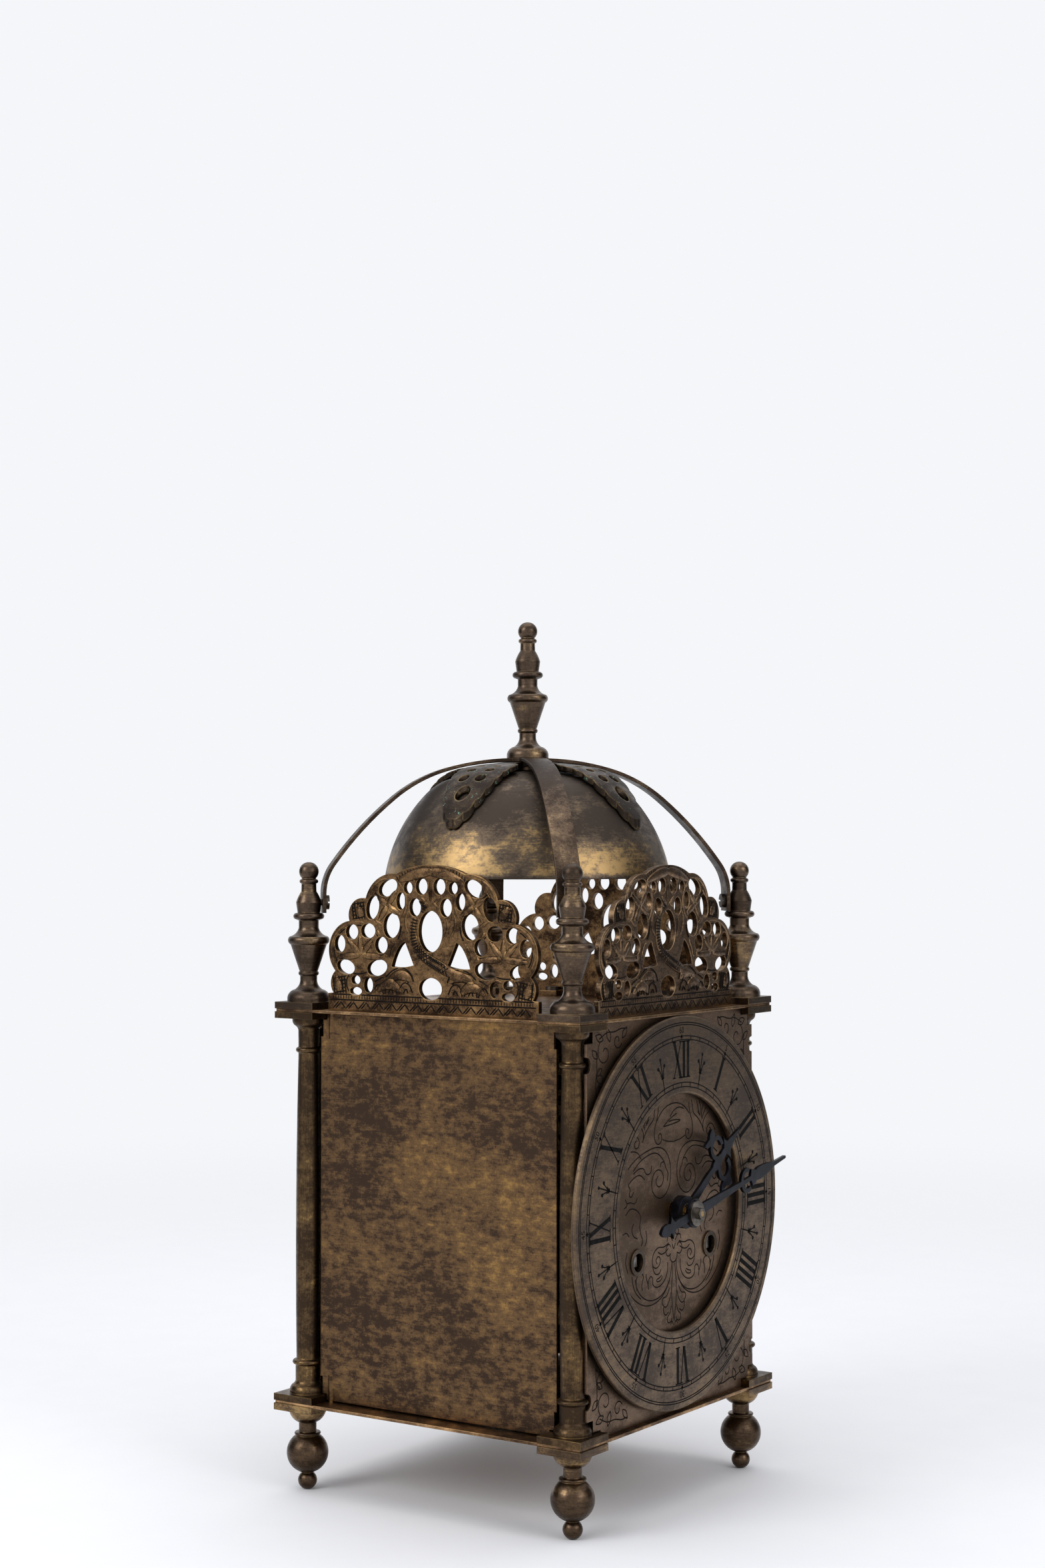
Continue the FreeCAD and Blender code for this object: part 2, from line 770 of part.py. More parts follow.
def make_brackets():
    """Small angles that hold the dial plate and the back plate between the two plates."""
    angles = []
    faces = ((-1, "-dial_plate_front + sheet_thick"),
             (1, "door_face - sheet_thick - bracket_leg"))
    for y, start in faces:
        for x in (-1, 1):
            for z in (-1, 1):
                left = f"{x} * bracket_offset - bracket_width / 2"
                low = "base_top_z" if z < 0 else "top_plate_z - bracket_leg"
                flat = low if z < 0 else "top_plate_z - bracket_thick"
                wall = start if y < 0 else f"{start} + bracket_leg - bracket_thick"
                lying = box("bracket_lying", (left, start, flat),
                            ("bracket_width", "bracket_leg", "bracket_thick"))
                standing = box("bracket_standing", (left, wall, low),
                               ("bracket_width", "bracket_thick", "bracket_leg"))
                angles.append(fuse("bracket", [lying, standing]))
    keep("case_brackets", group("case_brackets", angles))


def make_chapter_ring():
    """Raised hour ring on four spacing posts."""
    outline = [("chapter_bore", "chapter_back", 0),
               ("chapter_radius", "chapter_back", 0),
               ("chapter_radius", "chapter_front - chapter_bevel", 0),
               ("chapter_radius - chapter_bevel", "chapter_front", 0),
               ("chapter_bore + chapter_bevel", "chapter_front", 0),
               ("chapter_bore", "chapter_front - chapter_bevel", 0)]
    keep("chapter_ring", turned("chapter_ring", outline), ("0", "0", "dial_z"), FORWARD)
    posts = []
    for x, y in CORNERS.values():
        place = (f"{x} * chapter_post_circle / sqrt(2)", f"{y} * chapter_post_circle / sqrt(2)",
                 "dial_plate_front")
        posts.append(rod("post", "chapter_post_radius", "chapter_gap", place))
    keep("chapter_ring_posts", group("chapter_ring_posts", posts), ("0", "0", "dial_z"), FORWARD)


def make_eyelets():
    """Turned bushes in the two winding holes."""
    rings = []
    for x in (-1, 1):
        flange = rod("eyelet_flange", "eyelet_radius", "eyelet_rise",
                     (f"{x} * winding_spread", "0", "dial_plate_front"))
        neck = rod("eyelet_neck", "eyelet_radius - eyelet_wall - fit_gap", "sheet_thick",
                   (f"{x} * winding_spread", "0", "dial_plate_front - sheet_thick"))
        bore = rod("eyelet_hole", "eyelet_bore", "sheet_thick + eyelet_rise + 2 * overrun",
                   (f"{x} * winding_spread", "0", "dial_plate_front - sheet_thick - overrun"))
        rings.append(cut("eyelet", fuse("eyelet_blank", [flange, neck]), [bore]))
    keep("winding_eyelets", group("winding_eyelets", rings), ("0", "0", "winding_z"), FORWARD)


def points_of(shares, length):
    """Outline points from (across share, along share, bulge share) rows."""
    return [(x * length, y * length, bulge) for x, y, bulge in shares]


def crescent(share, length):
    """Flat open scroll: x, y, outer and inner radius as shares, then its two end angles."""
    x, y, outer, inner = (part * length for part in share[:4])
    start, end = (math.radians(angle) for angle in share[4:])
    bulge = math.tan((end - start) / 4)
    corners = [(outer, start, 0), (outer, end, bulge), (inner, end, 0), (inner, start, -bulge)]
    return ring_face([(x + radius * math.cos(angle), y + radius * math.sin(angle), bend)
                      for radius, angle, bend in corners])


HOUR_BLADE_SHARES = [
    (-0.042, 0.08, 0), (0.042, 0.08, 0), (0.03, 0.3, 0), (0.02, 0.5, 0.05), (0.045, 0.57, 0.1),
    (0.03, 0.66, 0.1), (0.03, 0.73, 0), (0.115, 0.765, -0.15), (0.045, 0.8, -0.2),
    (0.03, 0.86, 0.1), (0.008, 0.98, 0), (0.0, 1.0, 0.3), (-0.008, 0.98, 0.3), (-0.03, 0.86, 0),
    (-0.045, 0.8, 0.1), (-0.115, 0.765, -0.2), (-0.03, 0.73, -0.15), (-0.03, 0.66, 0),
    (-0.045, 0.57, 0.1), (-0.02, 0.5, 0.1), (-0.03, 0.3, 0.05),
]
HOUR_SCROLL_SHARES = (0.105, 0.64, 0.1, 0.064, -150, 110)
HOUR_LEAF_SHARES = [
    (0.18, 0.575, 0), (0.23, 0.5, 0.2), (0.235, 0.59, 0.1), (0.275, 0.665, 0.25),
    (0.2, 0.665, 0.25),
]
MINUTE_BLADE_SHARES = [
    (-0.028, 0.06, 0), (0.028, 0.06, 0), (0.024, 0.2, 0), (0.013, 0.5, 0), (0.012, 0.6, 0),
    (0.045, 0.612, -0.1), (0.028, 0.66, 0.1), (0.034, 0.71, 0.1), (0.012, 0.86, 0.06),
    (0.008, 0.99, 0), (-0.008, 0.99, 0.9), (-0.012, 0.86, 0), (-0.034, 0.71, 0.06),
    (-0.028, 0.66, 0.1), (-0.045, 0.612, 0.1), (-0.012, 0.6, -0.1), (-0.013, 0.5, 0),
    (-0.024, 0.2, 0),
]
MINUTE_SCROLL_SHARES = (0.0, 0.56, 0.068, 0.044, 150, 390)
MINUTE_TAIL_SHARES = [
    (0.02, -0.06, 0), (-0.02, -0.06, 0), (-0.022, -0.15, 0), (-0.018, -0.2, 0.1),
    (-0.06, -0.235, -0.15), (-0.022, -0.25, -0.2), (-0.03, -0.29, 0.2), (0.0, -0.345, 0.3),
    (0.03, -0.29, 0.3), (0.022, -0.25, 0.2), (0.06, -0.235, -0.2), (0.018, -0.2, -0.15),
    (0.022, -0.15, 0.1),
]


def mirrored(points):
    """The same outline on the hand's other side."""
    ring = [(-x, y, 0) for x, y, bulge in reversed(points)]
    bends = [bulge for x, y, bulge in points]
    bends = [bends[(len(bends) - index) % len(bends)] for index in range(len(bends))]
    return [(x, y, bend) for (x, y, zero), bend in zip(ring, bends)]


def make_hands():
    """Blued hands, each drawn pointing to twelve and then turned to the photographed time."""
    thick = size("hand_thick")
    length = size("hour_hand_length")
    leaf = points_of(HOUR_LEAF_SHARES, length)
    side, hook = HOUR_SCROLL_SHARES[:4], HOUR_SCROLL_SHARES[4:]
    faces = [disc(size("hour_boss_radius")), ring_face(points_of(HOUR_BLADE_SHARES, length)),
             crescent((*side, *hook), length),
             crescent((-side[0], *side[1:], 180 - hook[1], 180 - hook[0]), length),
             ring_face(leaf), ring_face(mirrored(leaf))]
    start = size("hour_hand_back")
    shapes = [slab(face, start, thick) for face in faces]
    shapes.append(tube(size("hour_boss_radius"), size("hour_boss_back"), start + thick))
    bore = tube(size("hour_pipe_radius + fit_gap"), size("hour_boss_back - overrun"),
                start + thick + size("overrun"))
    hand = one(shapes)
    hand.rotate(Vector(), UP, -size("hour_hand_angle"))
    keep("hour_hand", shaped("hour_hand", hand.cut(bore)), ("0", "0", "dial_z"), FORWARD)
    length = size("minute_hand_length")
    faces = [disc(size("minute_boss_radius")),
             ring_face(points_of(MINUTE_BLADE_SHARES, length)),
             ring_face(points_of(MINUTE_TAIL_SHARES, length)),
             crescent(MINUTE_SCROLL_SHARES, length)]
    start = size("minute_hand_back")
    bore = tube(size("cannon_radius + fit_gap"), start - size("overrun"),
                start + thick + size("overrun"))
    hand = one([slab(face, start, thick) for face in faces])
    hand.rotate(Vector(), UP, -size("minute_hand_angle"))
    keep("minute_hand", shaped("minute_hand", hand.cut(bore)), ("0", "0", "dial_z"), FORWARD)
    collet = tube(size("collet_radius"), size("minute_hand_front"), size("collet_front"),
                  size("arbor_radius + fit_gap"))
    keep("hand_collet", shaped("hand_collet", collet), ("0", "0", "dial_z"), FORWARD)
    nut = slab(hexagon(size("nut_radius")), size("collet_front"), size("nut_thick"))
    nut = nut.cut(tube(size("arbor_radius + fit_gap"), size("minute_hand_front"),
                       size("nut_front + overrun")))
    keep("hand_nut", shaped("hand_nut", nut), ("0", "0", "dial_z"), FORWARD)


def hexagon(radius):
    """Flat six-sided face."""
    corners = [Vector(radius, 0, 0)]
    for step in range(6):
        corner = FreeCAD.Rotation(UP, 60 * (step + 1)).multVec(corners[0])
        corners.append(corner)
    return Part.Face(Part.makePolygon(corners))


def bell_line(gap, crown_gap):
    """Points along the bell's outside from crown to rim, moved out by a gap."""
    rows = [("0", f"bell_height + {crown_gap}", 0)]
    for index, ((x, z, bulge), (out, rise)) in enumerate(BELL_SHARES):
        lift = crown_gap if not index else gap
        rows.append((f"{x} * bell_radius + {out} * ({lift})",
                     f"{z} * bell_height + {rise} * ({lift})", bulge))
    return rows


def make_bell():
    """Bell, with the stud, washer and nut that hang it from the strap."""
    outside = bell_line("0", "0")
    inside = bell_line("-bell_wall", "-bell_wall")
    outside[0] = ("stud_bore", outside[0][1], 0)
    inside[0] = ("stud_bore", inside[0][1], -inside[1][2])
    back = [(x, z, 0) for x, z, bulge in reversed(inside)]
    bends = [0] + [-row[2] for row in reversed(inside[1:])]
    back = [(x, z, bend) for (x, z, zero), bend in zip(back, bends)]
    keep("bell", turned("bell", outside + back), ("0", "0", "bell_rim_z"))
    stud = rod("bell_stud_rod", "stud_radius", "crown_z + stud_grip - bell_stud_z",
               ("0", "0", "bell_stud_z"))
    washer = cut("bell_washer",
                 rod("bell_washer_blank", "bell_washer_radius", "bell_washer_thick",
                     ("0", "0", "bell_top_z")),
                 [rod("bell_washer_hole", "stud_bore", "bell_washer_thick + 2 * overrun",
                      ("0", "0", "bell_top_z - overrun"))])
    nut = slab(hexagon(size("bell_nut_radius")), size("bell_stud_z + overrun"),
               size("bell_nut_thick"))
    nut = nut.cut(tube(size("stud_bore"), size("bell_stud_z"), size("bell_top_z")))
    keep("bell_stud", group("bell_stud", [stud, washer, shaped("bell_nut", nut)]))


STRAP_SHARES = ((0.06, 0), (0.4, 16), (0.66, 40), (0.955, 55), (1.0, 90))


def strap_line():
    """Outside of one strap arm in its own upright plane: (reach, height, bulge) to the foot."""
    reach, height = size("strap_reach"), size("crown_z")
    rows = [(0, height, 0)]
    at, slope = STRAP_SHARES[0][0] * reach, 0
    rows.append((at, height, 0))
    for share, degrees in STRAP_SHARES[1:]:
        angle = math.radians(degrees)
        radius = (share * reach - at) / (math.sin(angle) - math.sin(slope))
        height -= radius * (math.cos(slope) - math.cos(angle))
        rows.append((share * reach, height, -math.tan((angle - slope) / 4)))
        at, slope = share * reach, angle
    rows.append((reach, size("strap_foot_z"), 0))
    return rows


def inner_line(rows, thick):
    """The same line moved inwards by the strap's thickness."""
    slopes = [0, 0] + [math.radians(degrees) for share, degrees in STRAP_SHARES[1:]]
    slopes.append(slopes[-1])
    return [(x - thick * math.sin(slope) if x else 0, z - thick * math.cos(slope), bulge)
            for (x, z, bulge), slope in zip(rows, slopes)]


def make_strap():
    """Cross of four bent arms from the crown to the corner finials."""
    outside = strap_line()
    inside = inner_line(outside, size("strap_thick"))
    back = [(x, z, -inside[len(inside) - index][2] if index else 0)
            for index, (x, z, bulge) in enumerate(reversed(inside))]
    face = ring_face(outside + back)
    width = size("strap_width")
    arm = face.extrude(UP * width)
    arm.translate(UP * (-width / 2))
    arm.rotate(Vector(), Vector(1, 0, 0), 90)
    arms = []
    for turn in range(4):
        copy = arm.copy()
        copy.rotate(Vector(), UP, 45 + 90 * turn)
        arms.append(copy)
    middle = tube(size("bell_washer_radius"), size("strap_z"), size("crown_z"))
    strap = one([middle, *arms])
    bore = tube(size("stud_bore"), size("strap_z - overrun"), size("crown_z + overrun"))
    strap = strap.cut(bore)
    for turn in range(4):
        strap = strap.cut(side_rod("screw_bore", "strap_reach - bell_wall - strap_thick",
                                   "strap_reach + overrun", turn))
    keep("bell_strap", shaped("bell_strap", strap))


def side_rod(radius, start, end, turn, height="strap_screw_z"):
    """Bar that points outwards to one corner, at the height of the strap's screws."""
    bar = Part.makeCylinder(size(radius), size(f"{end} - ({start})"),
                            Vector(size(start), 0, size(height)), Vector(1, 0, 0))
    bar.rotate(Vector(), UP, 45 + 90 * turn)
    return bar


def make_screws():
    """Round-headed slotted screws of the strap's feet and of the frets' lugs."""
    screws = []
    slot = size("screw_slot")
    for turn in range(4):
        shank = side_rod("screw_radius", "strap_reach - strap_thick",
                         "strap_reach + screw_reach", turn)
        head = side_rod("screw_head_radius", "strap_reach - strap_thick - screw_head_thick",
                        "strap_reach - strap_thick", turn)
        groove = Part.makeBox(slot, 2 * size("screw_head_radius + overrun"), slot)
        groove.translate(Vector(size("strap_reach - strap_thick - screw_head_thick"),
                                -size("screw_head_radius + overrun"),
                                size("strap_screw_z") - slot / 2))
        groove.rotate(Vector(), UP, 45 + 90 * turn)
        screws.append(shaped("strap_screw", one([shank, head]).cut(groove)))
    for x, y in fret_screw_places():
        top = "(top_face_z + lug_thick)"
        shank = rod("fret_screw_shank", "screw_radius", "lug_thick + plate_thick",
                    (x, y, "top_plate_z"))
        head = rod("fret_screw_head", "screw_head_radius", "screw_head_thick", (x, y, top))
        groove = box("fret_screw_slot",
                     (f"{x} - screw_slot / 2", f"{y} - screw_head_radius - overrun",
                      f"{top} + screw_head_thick - screw_slot"),
                     ("screw_slot", "2 * (screw_head_radius + overrun)", "screw_slot + overrun"))
        screws.append(cut("fret_screw", fuse("fret_screw_blank", [shank, head]), [groove]))
    keep("small_screws", group("small_screws", screws))


# Right half of the leaf's edge: (half width share, radius share, bulge share).
LEAF_SHARES = [
    (0.36, 0.0, 0), (0.44, 0.28, 0), (0.78, 0.38, -0.25), (0.94, 0.46, 0.35), (1.0, 0.55, 0.4),
    (1.0, 0.64, 0.4), (0.95, 0.73, 0.4), (0.84, 0.82, 0.4), (0.66, 0.9, 0.4), (0.38, 0.97, 0.4),
    (0.0, 1.0, 0.35),
]
LEAF_HOLE_SHARES = [
    (0.0, 0.86, 0.3, 0.05), (0.36, 0.74, 0.22, 0.035), (-0.36, 0.74, 0.22, 0.035),
    (0.4, 0.63, 0.2, 0.03), (-0.4, 0.63, 0.2, 0.03), (0.36, 0.52, 0.18, 0.028),
    (-0.36, 0.52, 0.18, 0.028),
]


def leaf_face():
    """Plan of one leaf, along +y, with its pierced holes."""
    half, length = size("ornament_width / 2"), size("ornament_radius")
    right = [(x * half, y * length, bulge) for x, y, bulge in LEAF_SHARES]
    left = [(-x, y, right[len(right) - index][2] if index else 0)
            for index, (x, y, bulge) in enumerate(reversed(right))]
    face = ring_face(right + left[1:])
    holes = []
    for x, y, wide, long in LEAF_HOLE_SHARES:
        holes.append(oval(x * half, y * length, wide * half, long * length))
    return face.cut(holes)


def oval(x, y, wide, tall, turn=0):
    """Flat elliptical face from its middle and half sizes."""
    wide, tall, turn = (wide, tall, turn) if wide >= tall else (tall, wide, turn + 90)
    curve = Part.Ellipse(Vector(), wide, tall)
    face = Part.Face(Part.Wire(curve.toShape()))
    face.rotate(Vector(), UP, turn)
    face.translate(Vector(x, y, 0))
    return face


def make_ornament():
    """Pierced sheet of four leaves that lies over the bell."""
    crown = "ornament_z - bell_top_z"
    inner = bell_line("ornament_gap", crown)
    outer = bell_line("ornament_gap + ornament_thick", f"{crown} + ornament_thick")
    back = [(x, z, -inner[len(inner) - index][2] if index else 0)
            for index, (x, z, bulge) in enumerate(reversed(inner))]
    rows = [(size(x), size(z), bulge) for x, z, bulge in outer + back]
    face = ring_face(rows)
    face.rotate(Vector(), Vector(1, 0, 0), 90)
    shell = face.revolve(Vector(), UP, 360)
    plan = [leaf_face() for turn in range(4)]
    for turn, leaf in enumerate(plan):
        leaf.rotate(Vector(), UP, 90 * turn)
    hub = disc(size("bell_washer_radius + stud_radius"))
    height = size("strap_z - bell_rim_z + overrun")
    prism = one([slab(part, 0, height) for part in [hub, *plan]])
    sheet_metal = shell.common(prism)
    bore = tube(size("stud_bore"), 0, height)
    keep("leaf_ornament", shaped("leaf_ornament", sheet_metal.cut(bore)),
         ("0", "0", "bell_rim_z"))


# Right half of the fret's edge: (half width share, height share, bulge share).
FRET_EDGE_SHARES = [
    (0.0, 0.0, 0), (1.0, 0.0, 0), (1.0, 0.115, 0), (0.95, 0.12, 0), (0.93, 0.27, 0.4),
    (0.79, 0.615, 0.62), (0.63, 0.77, 0.6), (0.33, 0.94, 0.37), (0.0, 1.0, 0.12),
]
# Pierced holes of the right half: middle x, middle y, half width, half height, turn.
FRET_HOLE_SHARES = [
    (0.41, 0.845, 0.096, 0.055, -25), (0.215, 0.847, 0.043, 0.042, 0),
    (0.085, 0.857, 0.057, 0.056, 0), (0.56, 0.71, 0.062, 0.084, 15),
    (0.285, 0.757, 0.044, 0.059, 0), (0.147, 0.716, 0.056, 0.062, 0),
    (0.375, 0.59, 0.08, 0.088, 10), (0.885, 0.457, 0.054, 0.061, 0),
    (0.765, 0.54, 0.062, 0.053, 0), (0.604, 0.55, 0.071, 0.052, 0),
    (0.475, 0.455, 0.062, 0.058, 0), (0.825, 0.3, 0.09, 0.05, 12),
    (0.515, 0.3, 0.1, 0.056, -12), (0.725, 0.212, 0.045, 0.032, 0),
    (0.725, 0.136, 0.06, 0.028, 0), (0.6, 0.18, 0.045, 0.053, 0),
]
FRET_MIDDLE_HOLE_SHARES = [(0.0, 0.555, 0.115, 0.14, 0), (0.0, 0.17, 0.11, 0.075, 0)]
FRET_TRIANGLE_SHARES = [(0.16, 0.325, 0), (0.375, 0.312, 0.1), (0.3, 0.45, 0.1), (0.245, 0.485, 0.1)]


def fret_face():
    """Pierced front of one fret, standing on y = 0."""
    half, tall = size("fret_width / 2"), size("fret_height")
    right = [(x * half, y * tall, bulge) for x, y, bulge in FRET_EDGE_SHARES]
    left = [(-x, y, right[len(right) - index][2] if index else 0)
            for index, (x, y, bulge) in enumerate(reversed(right))]
    face = ring_face(right[1:] + left[1:-1])
    holes = []
    for side in (-1, 1):
        for x, y, wide, high, turn in FRET_HOLE_SHARES:
            holes.append(oval(side * x * half, y * tall, wide * half, high * tall, side * turn))
        triangle = [(x * half, y * tall, bulge) for x, y, bulge in FRET_TRIANGLE_SHARES]
        holes.append(ring_face(triangle if side > 0 else mirrored(triangle)))
    for x, y, wide, high, turn in FRET_MIDDLE_HOLE_SHARES:
        holes.append(oval(x * half, y * tall, wide * half, high * tall, turn))
    return face.cut(holes)


def make_frets():
    """Dolphin frets at the front and both sides, each with two screwed lugs behind."""
    back = size("fret_front - fret_thick")
    plate = slab(fret_face(), back, size("fret_thick"))
    lugs = []
    for side in (-1, 1):
        reach, width = size("lug_reach"), size("lug_width")
        lug = Part.makeBox(width, size("lug_thick"), reach + size("fret_thick") / 2)
        lug.translate(Vector(side * size("lug_offset") - width / 2, 0, back - reach))
        hole = Part.makeCylinder(size("screw_bore"), size("lug_thick + 2 * overrun"),
                                 Vector(side * size("lug_offset"), -size("overrun"),
                                        back - reach / 2), Vector(0, 1, 0))
        lugs.append(lug.cut(hole))
    fret = one([plate, *lugs])
    turns = {"fret_front": 0, "fret_left": -90, "fret_right": 90}
    for name, turn in turns.items():
        rotation = FreeCAD.Rotation(UP, turn) * FORWARD
        keep(name, shaped(name, fret.copy()), ("0", "0", "top_face_z"), rotation)


def polar(radius, degrees, x=0.0, y=0.0):
    """Point at a distance and a direction from another point."""
    angle = math.radians(degrees)
    return (x + radius * math.cos(angle), y + radius * math.sin(angle))


def gear_face(teeth, module, shape, phase=0.0):
    """Flat toothed face with one tooth in the phase direction."""
    pitch = teeth * module / 2
    tip, root = pitch + shape["tip"] * module, pitch - shape["root"] * module
    shoulder = pitch + 0.6 * shape["tip"] * module
    waist = 0.55 * shape["flank"] + 0.45 * shape["crest"]
    profile = ((root, -shape["foot"]), (pitch, -shape["flank"]), (shoulder, -waist),
               (tip, -shape["crest"]), (tip, shape["crest"]), (shoulder, waist),
               (pitch, shape["flank"]), (root, shape["foot"]))
    points = []
    for tooth in range(teeth):
        for radius, share in profile:
            x, y = polar(radius, phase + 360 * (tooth + share) / teeth)
            points.append(Vector(x, y, 0))
    return Part.Face(Part.makePolygon([*points, points[0]]))


def crossed(face, rim, hub):
    """Wheel face with openings between its arms."""
    arms = int(size("wheel_arms"))
    arm = size("arbor_radius")
    windows = []
    for index in range(arms):
        half = 180 / arms
        middle = index * 360 / arms
        corners = []
        for radius, side in ((hub, -1), (hub, 1), (rim, 1), (rim, -1)):
            spread = half - math.degrees(arm / radius)
            corners.append((*polar(radius, middle + side * spread), 0))
        bend = math.tan(math.radians(half - math.degrees(arm / rim)) / 2)
        corners[3] = (corners[3][0], corners[3][1], -bend)
        windows.append(ring_face(corners))
    return face.cut(windows)


def meshing(teeth_share, first, second, direction, phase=0.0):
    """Tooth phase of the second gear, from the first one's teeth, module and phase."""
    (teeth, module), other = first, second
    lead = math.radians(phase - direction) * teeth * module / 2 + teeth_share * math.pi * module
    return direction + 180 - math.degrees(lead / (other * module / 2))


def direction_of(first, second):
    return math.degrees(math.atan2(second[1] - first[1], second[0] - first[0]))


def meet(first, reach, second, other, side):
    """Point at two distances from two points, on the side given by the sign."""
    gap = math.dist(first, second)
    along = (reach ** 2 - other ** 2 + gap ** 2) / (2 * gap)
    away = math.sqrt(reach ** 2 - along ** 2) * side
    ux, uy = (second[0] - first[0]) / gap, (second[1] - first[1]) / gap
    return (first[0] + along * ux - away * uy, first[1] + along * uy + away * ux)


def arbor_places():
    """Middles of all arbors from the dial's middle, x to the right and y up."""
    centre = (0.0, 0.0)
    spread, drop = size("winding_spread"), size("winding_drop")
    going, strike = (spread, -drop), (-spread, -drop)
    great = size("great_module * (great_teeth + second_leaves) / 2")
    second = size("train_module * (second_teeth + centre_leaves) / 2")
    third = polar(size("centre_module * (centre_teeth + third_leaves) / 2"), size("third_turn"))
    escape = polar(size("third_module * (third_teeth + escape_leaves) / 2"), 90, *third)
    pins = meet(strike, great, centre, second, 1)
    locking = polar(size("train_module * (second_teeth + locking_leaves) / 2"),
                    size("locking_turn"), *pins)
    fly = polar(size("locking_module * (locking_teeth + fly_leaves) / 2"), size("fly_turn"),
                *locking)
    return {
        "centre": centre, "going": going, "strike": strike,
        "intermediate": meet(going, great, centre, second, -1),
        "third": third, "escape": escape, "anchor": (escape[0], escape[1] + size("anchor_rise")),
        "pins": pins, "locking": locking, "fly": fly,
        "minute": (0.0, size("motion_module * (cannon_leaves + minute_teeth) / 2")),
        "hammer": (-size("hammer_side"), size("hammer_pivot_rise")),
    }


def set_arbor(name, shape, place):
    """Put a piece of the movement on its arbor's axis."""
    x, y = place
    keep(name, shaped(name, shape), (f"{x}", "0", f"dial_z + {y}"), FORWARD)


def arbor(front="movement_front", radius="arbor_radius", back="movement_back"):
    """Arbor between the plates with a pivot at each end."""
    inner_back, inner_front = size("movement_inner_back"), size("movement_inner_front")
    shake, thin, thick = size("arbor_shake"), size("pivot_radius"), size(radius)
    return [tube(thin, size(back), inner_back + shake),
            tube(thick, inner_back + shake, inner_front - shake),
            tube(thin, inner_front - shake, size(front))]


def wheel(teeth, module, start, thick, phase=0.0, hub="arbor_radius * 2.5"):
    """Crossed wheel between two depths."""
    rim = teeth * module / 2 - 3.2 * module
    face = gear_face(teeth, module, WHEEL_TOOTH_SHARES, phase)
    return slab(crossed(face, rim, size(hub)), start, thick)


def pinion(leaves, module, start, thick, phase=0.0):
    return slab(gear_face(leaves, module, LEAF_TOOTH_SHARES, phase), start, thick)


def without_middle(bar, start, thick):
    """Arbor pieces with the stretch of a small pinion taken out."""
    gap = tube(size("arbor_radius + overrun"), start, start + thick)
    return [part.cut(gap) for part in bar]


def make_barrels(places):
    """Spring barrels with their great wheels, winding arbors, ratchets and clicks."""
    great, thick = size("great_module"), size("wheel_thick * 4 / 3")
    teeth, leaves = int(size("great_teeth")), int(size("second_leaves"))
    depth = size("barrel_depth")
    for train, mate in (("going", "intermediate"), ("strike", "pins")):
        here, there = places[train], places[mate]
        phase = meshing(0.5, (leaves, great), teeth, direction_of(there, here), 0)
        bore = size("winding_arbor_radius + fit_gap")
        drum = tube(size("barrel_radius"), depth, size("barrel_front"), bore)
        ring = slab(gear_face(teeth, great, WHEEL_TOOTH_SHARES, phase), depth - thick, thick)
        ring = ring.cut(tube(bore, depth - thick - 1 * thick, depth + thick))
        set_arbor(f"{train}_barrel", one([ring, drum]), here)
        set_arbor(f"{train}_winding_arbor", winding_arbor(), here)
        side = 1 if train == "going" else -1
        stud = click_place(here, side)
        set_arbor(f"{train}_click", click(here, stud, side), stud)


def winding_arbor():
    """Arbor of one barrel: pivot, body, ratchet and square."""
    shake, radius = size("arbor_shake"), size("winding_arbor_radius")
    back, inner = size("movement_back"), size("movement_inner_back + arbor_shake")
    ratchet, thick = size("movement_front + seat_gap"), size("ratchet_thick")
    tip = size("ratchet_radius")
    count = int(size("ratchet_teeth"))
    points = []
    for tooth in range(count):
        for reach, share in ((tip, 0), (tip - size("ratchet_depth"), 0.08)):
            points.append((*polar(reach, 360 * (tooth + share) / count), 0))
    square = size("winding_square")
    shapes = [tube(radius / 2, back, inner), tube(radius, inner, ratchet + 2 * thick),
              slab(ring_face(points), ratchet, thick)]
    shaft = Part.makeBox(square, square, size("winding_end") - ratchet - thick)
    shaft.translate(Vector(-square / 2, -square / 2, ratchet + thick))
    return one([*shapes, shaft])


def click_place(here, side):
    """Stud of one click, beside its ratchet."""
    reach = size("ratchet_radius + 2 * click_width")
    degrees = size("click_angle")
    return polar(reach, degrees if side > 0 else 180 - degrees, *here)


def click(here, stud, side):
    """Pawl that points at the ratchet's rim, drawn about its stud."""
    wide = size("click_width")
    thin = wide / 5
    rim = size("ratchet_radius + click_gap") + thin
    x, y = polar(rim, 90, *here)
    x, y = x - stud[0], y - stud[1]
    length = math.hypot(x, y)
    ux, uy = x / length, y / length
    arm = [(-uy * wide / 2, ux * wide / 2, 0), (uy * wide / 2, -ux * wide / 2, 0),
           (x + uy * thin, y - ux * thin, 0), (x - uy * thin, y + ux * thin, 0)]
    start, thick = size("movement_front + seat_gap"), size("ratchet_thick")
    shapes = [slab(disc(size("click_stud_radius") + wide / 2), start, thick),
              slab(ring_face(arm), start, thick)]
    bore = tube(size("click_stud_radius + fit_gap"), start - wide, start + wide)
    return one(shapes).cut(bore)


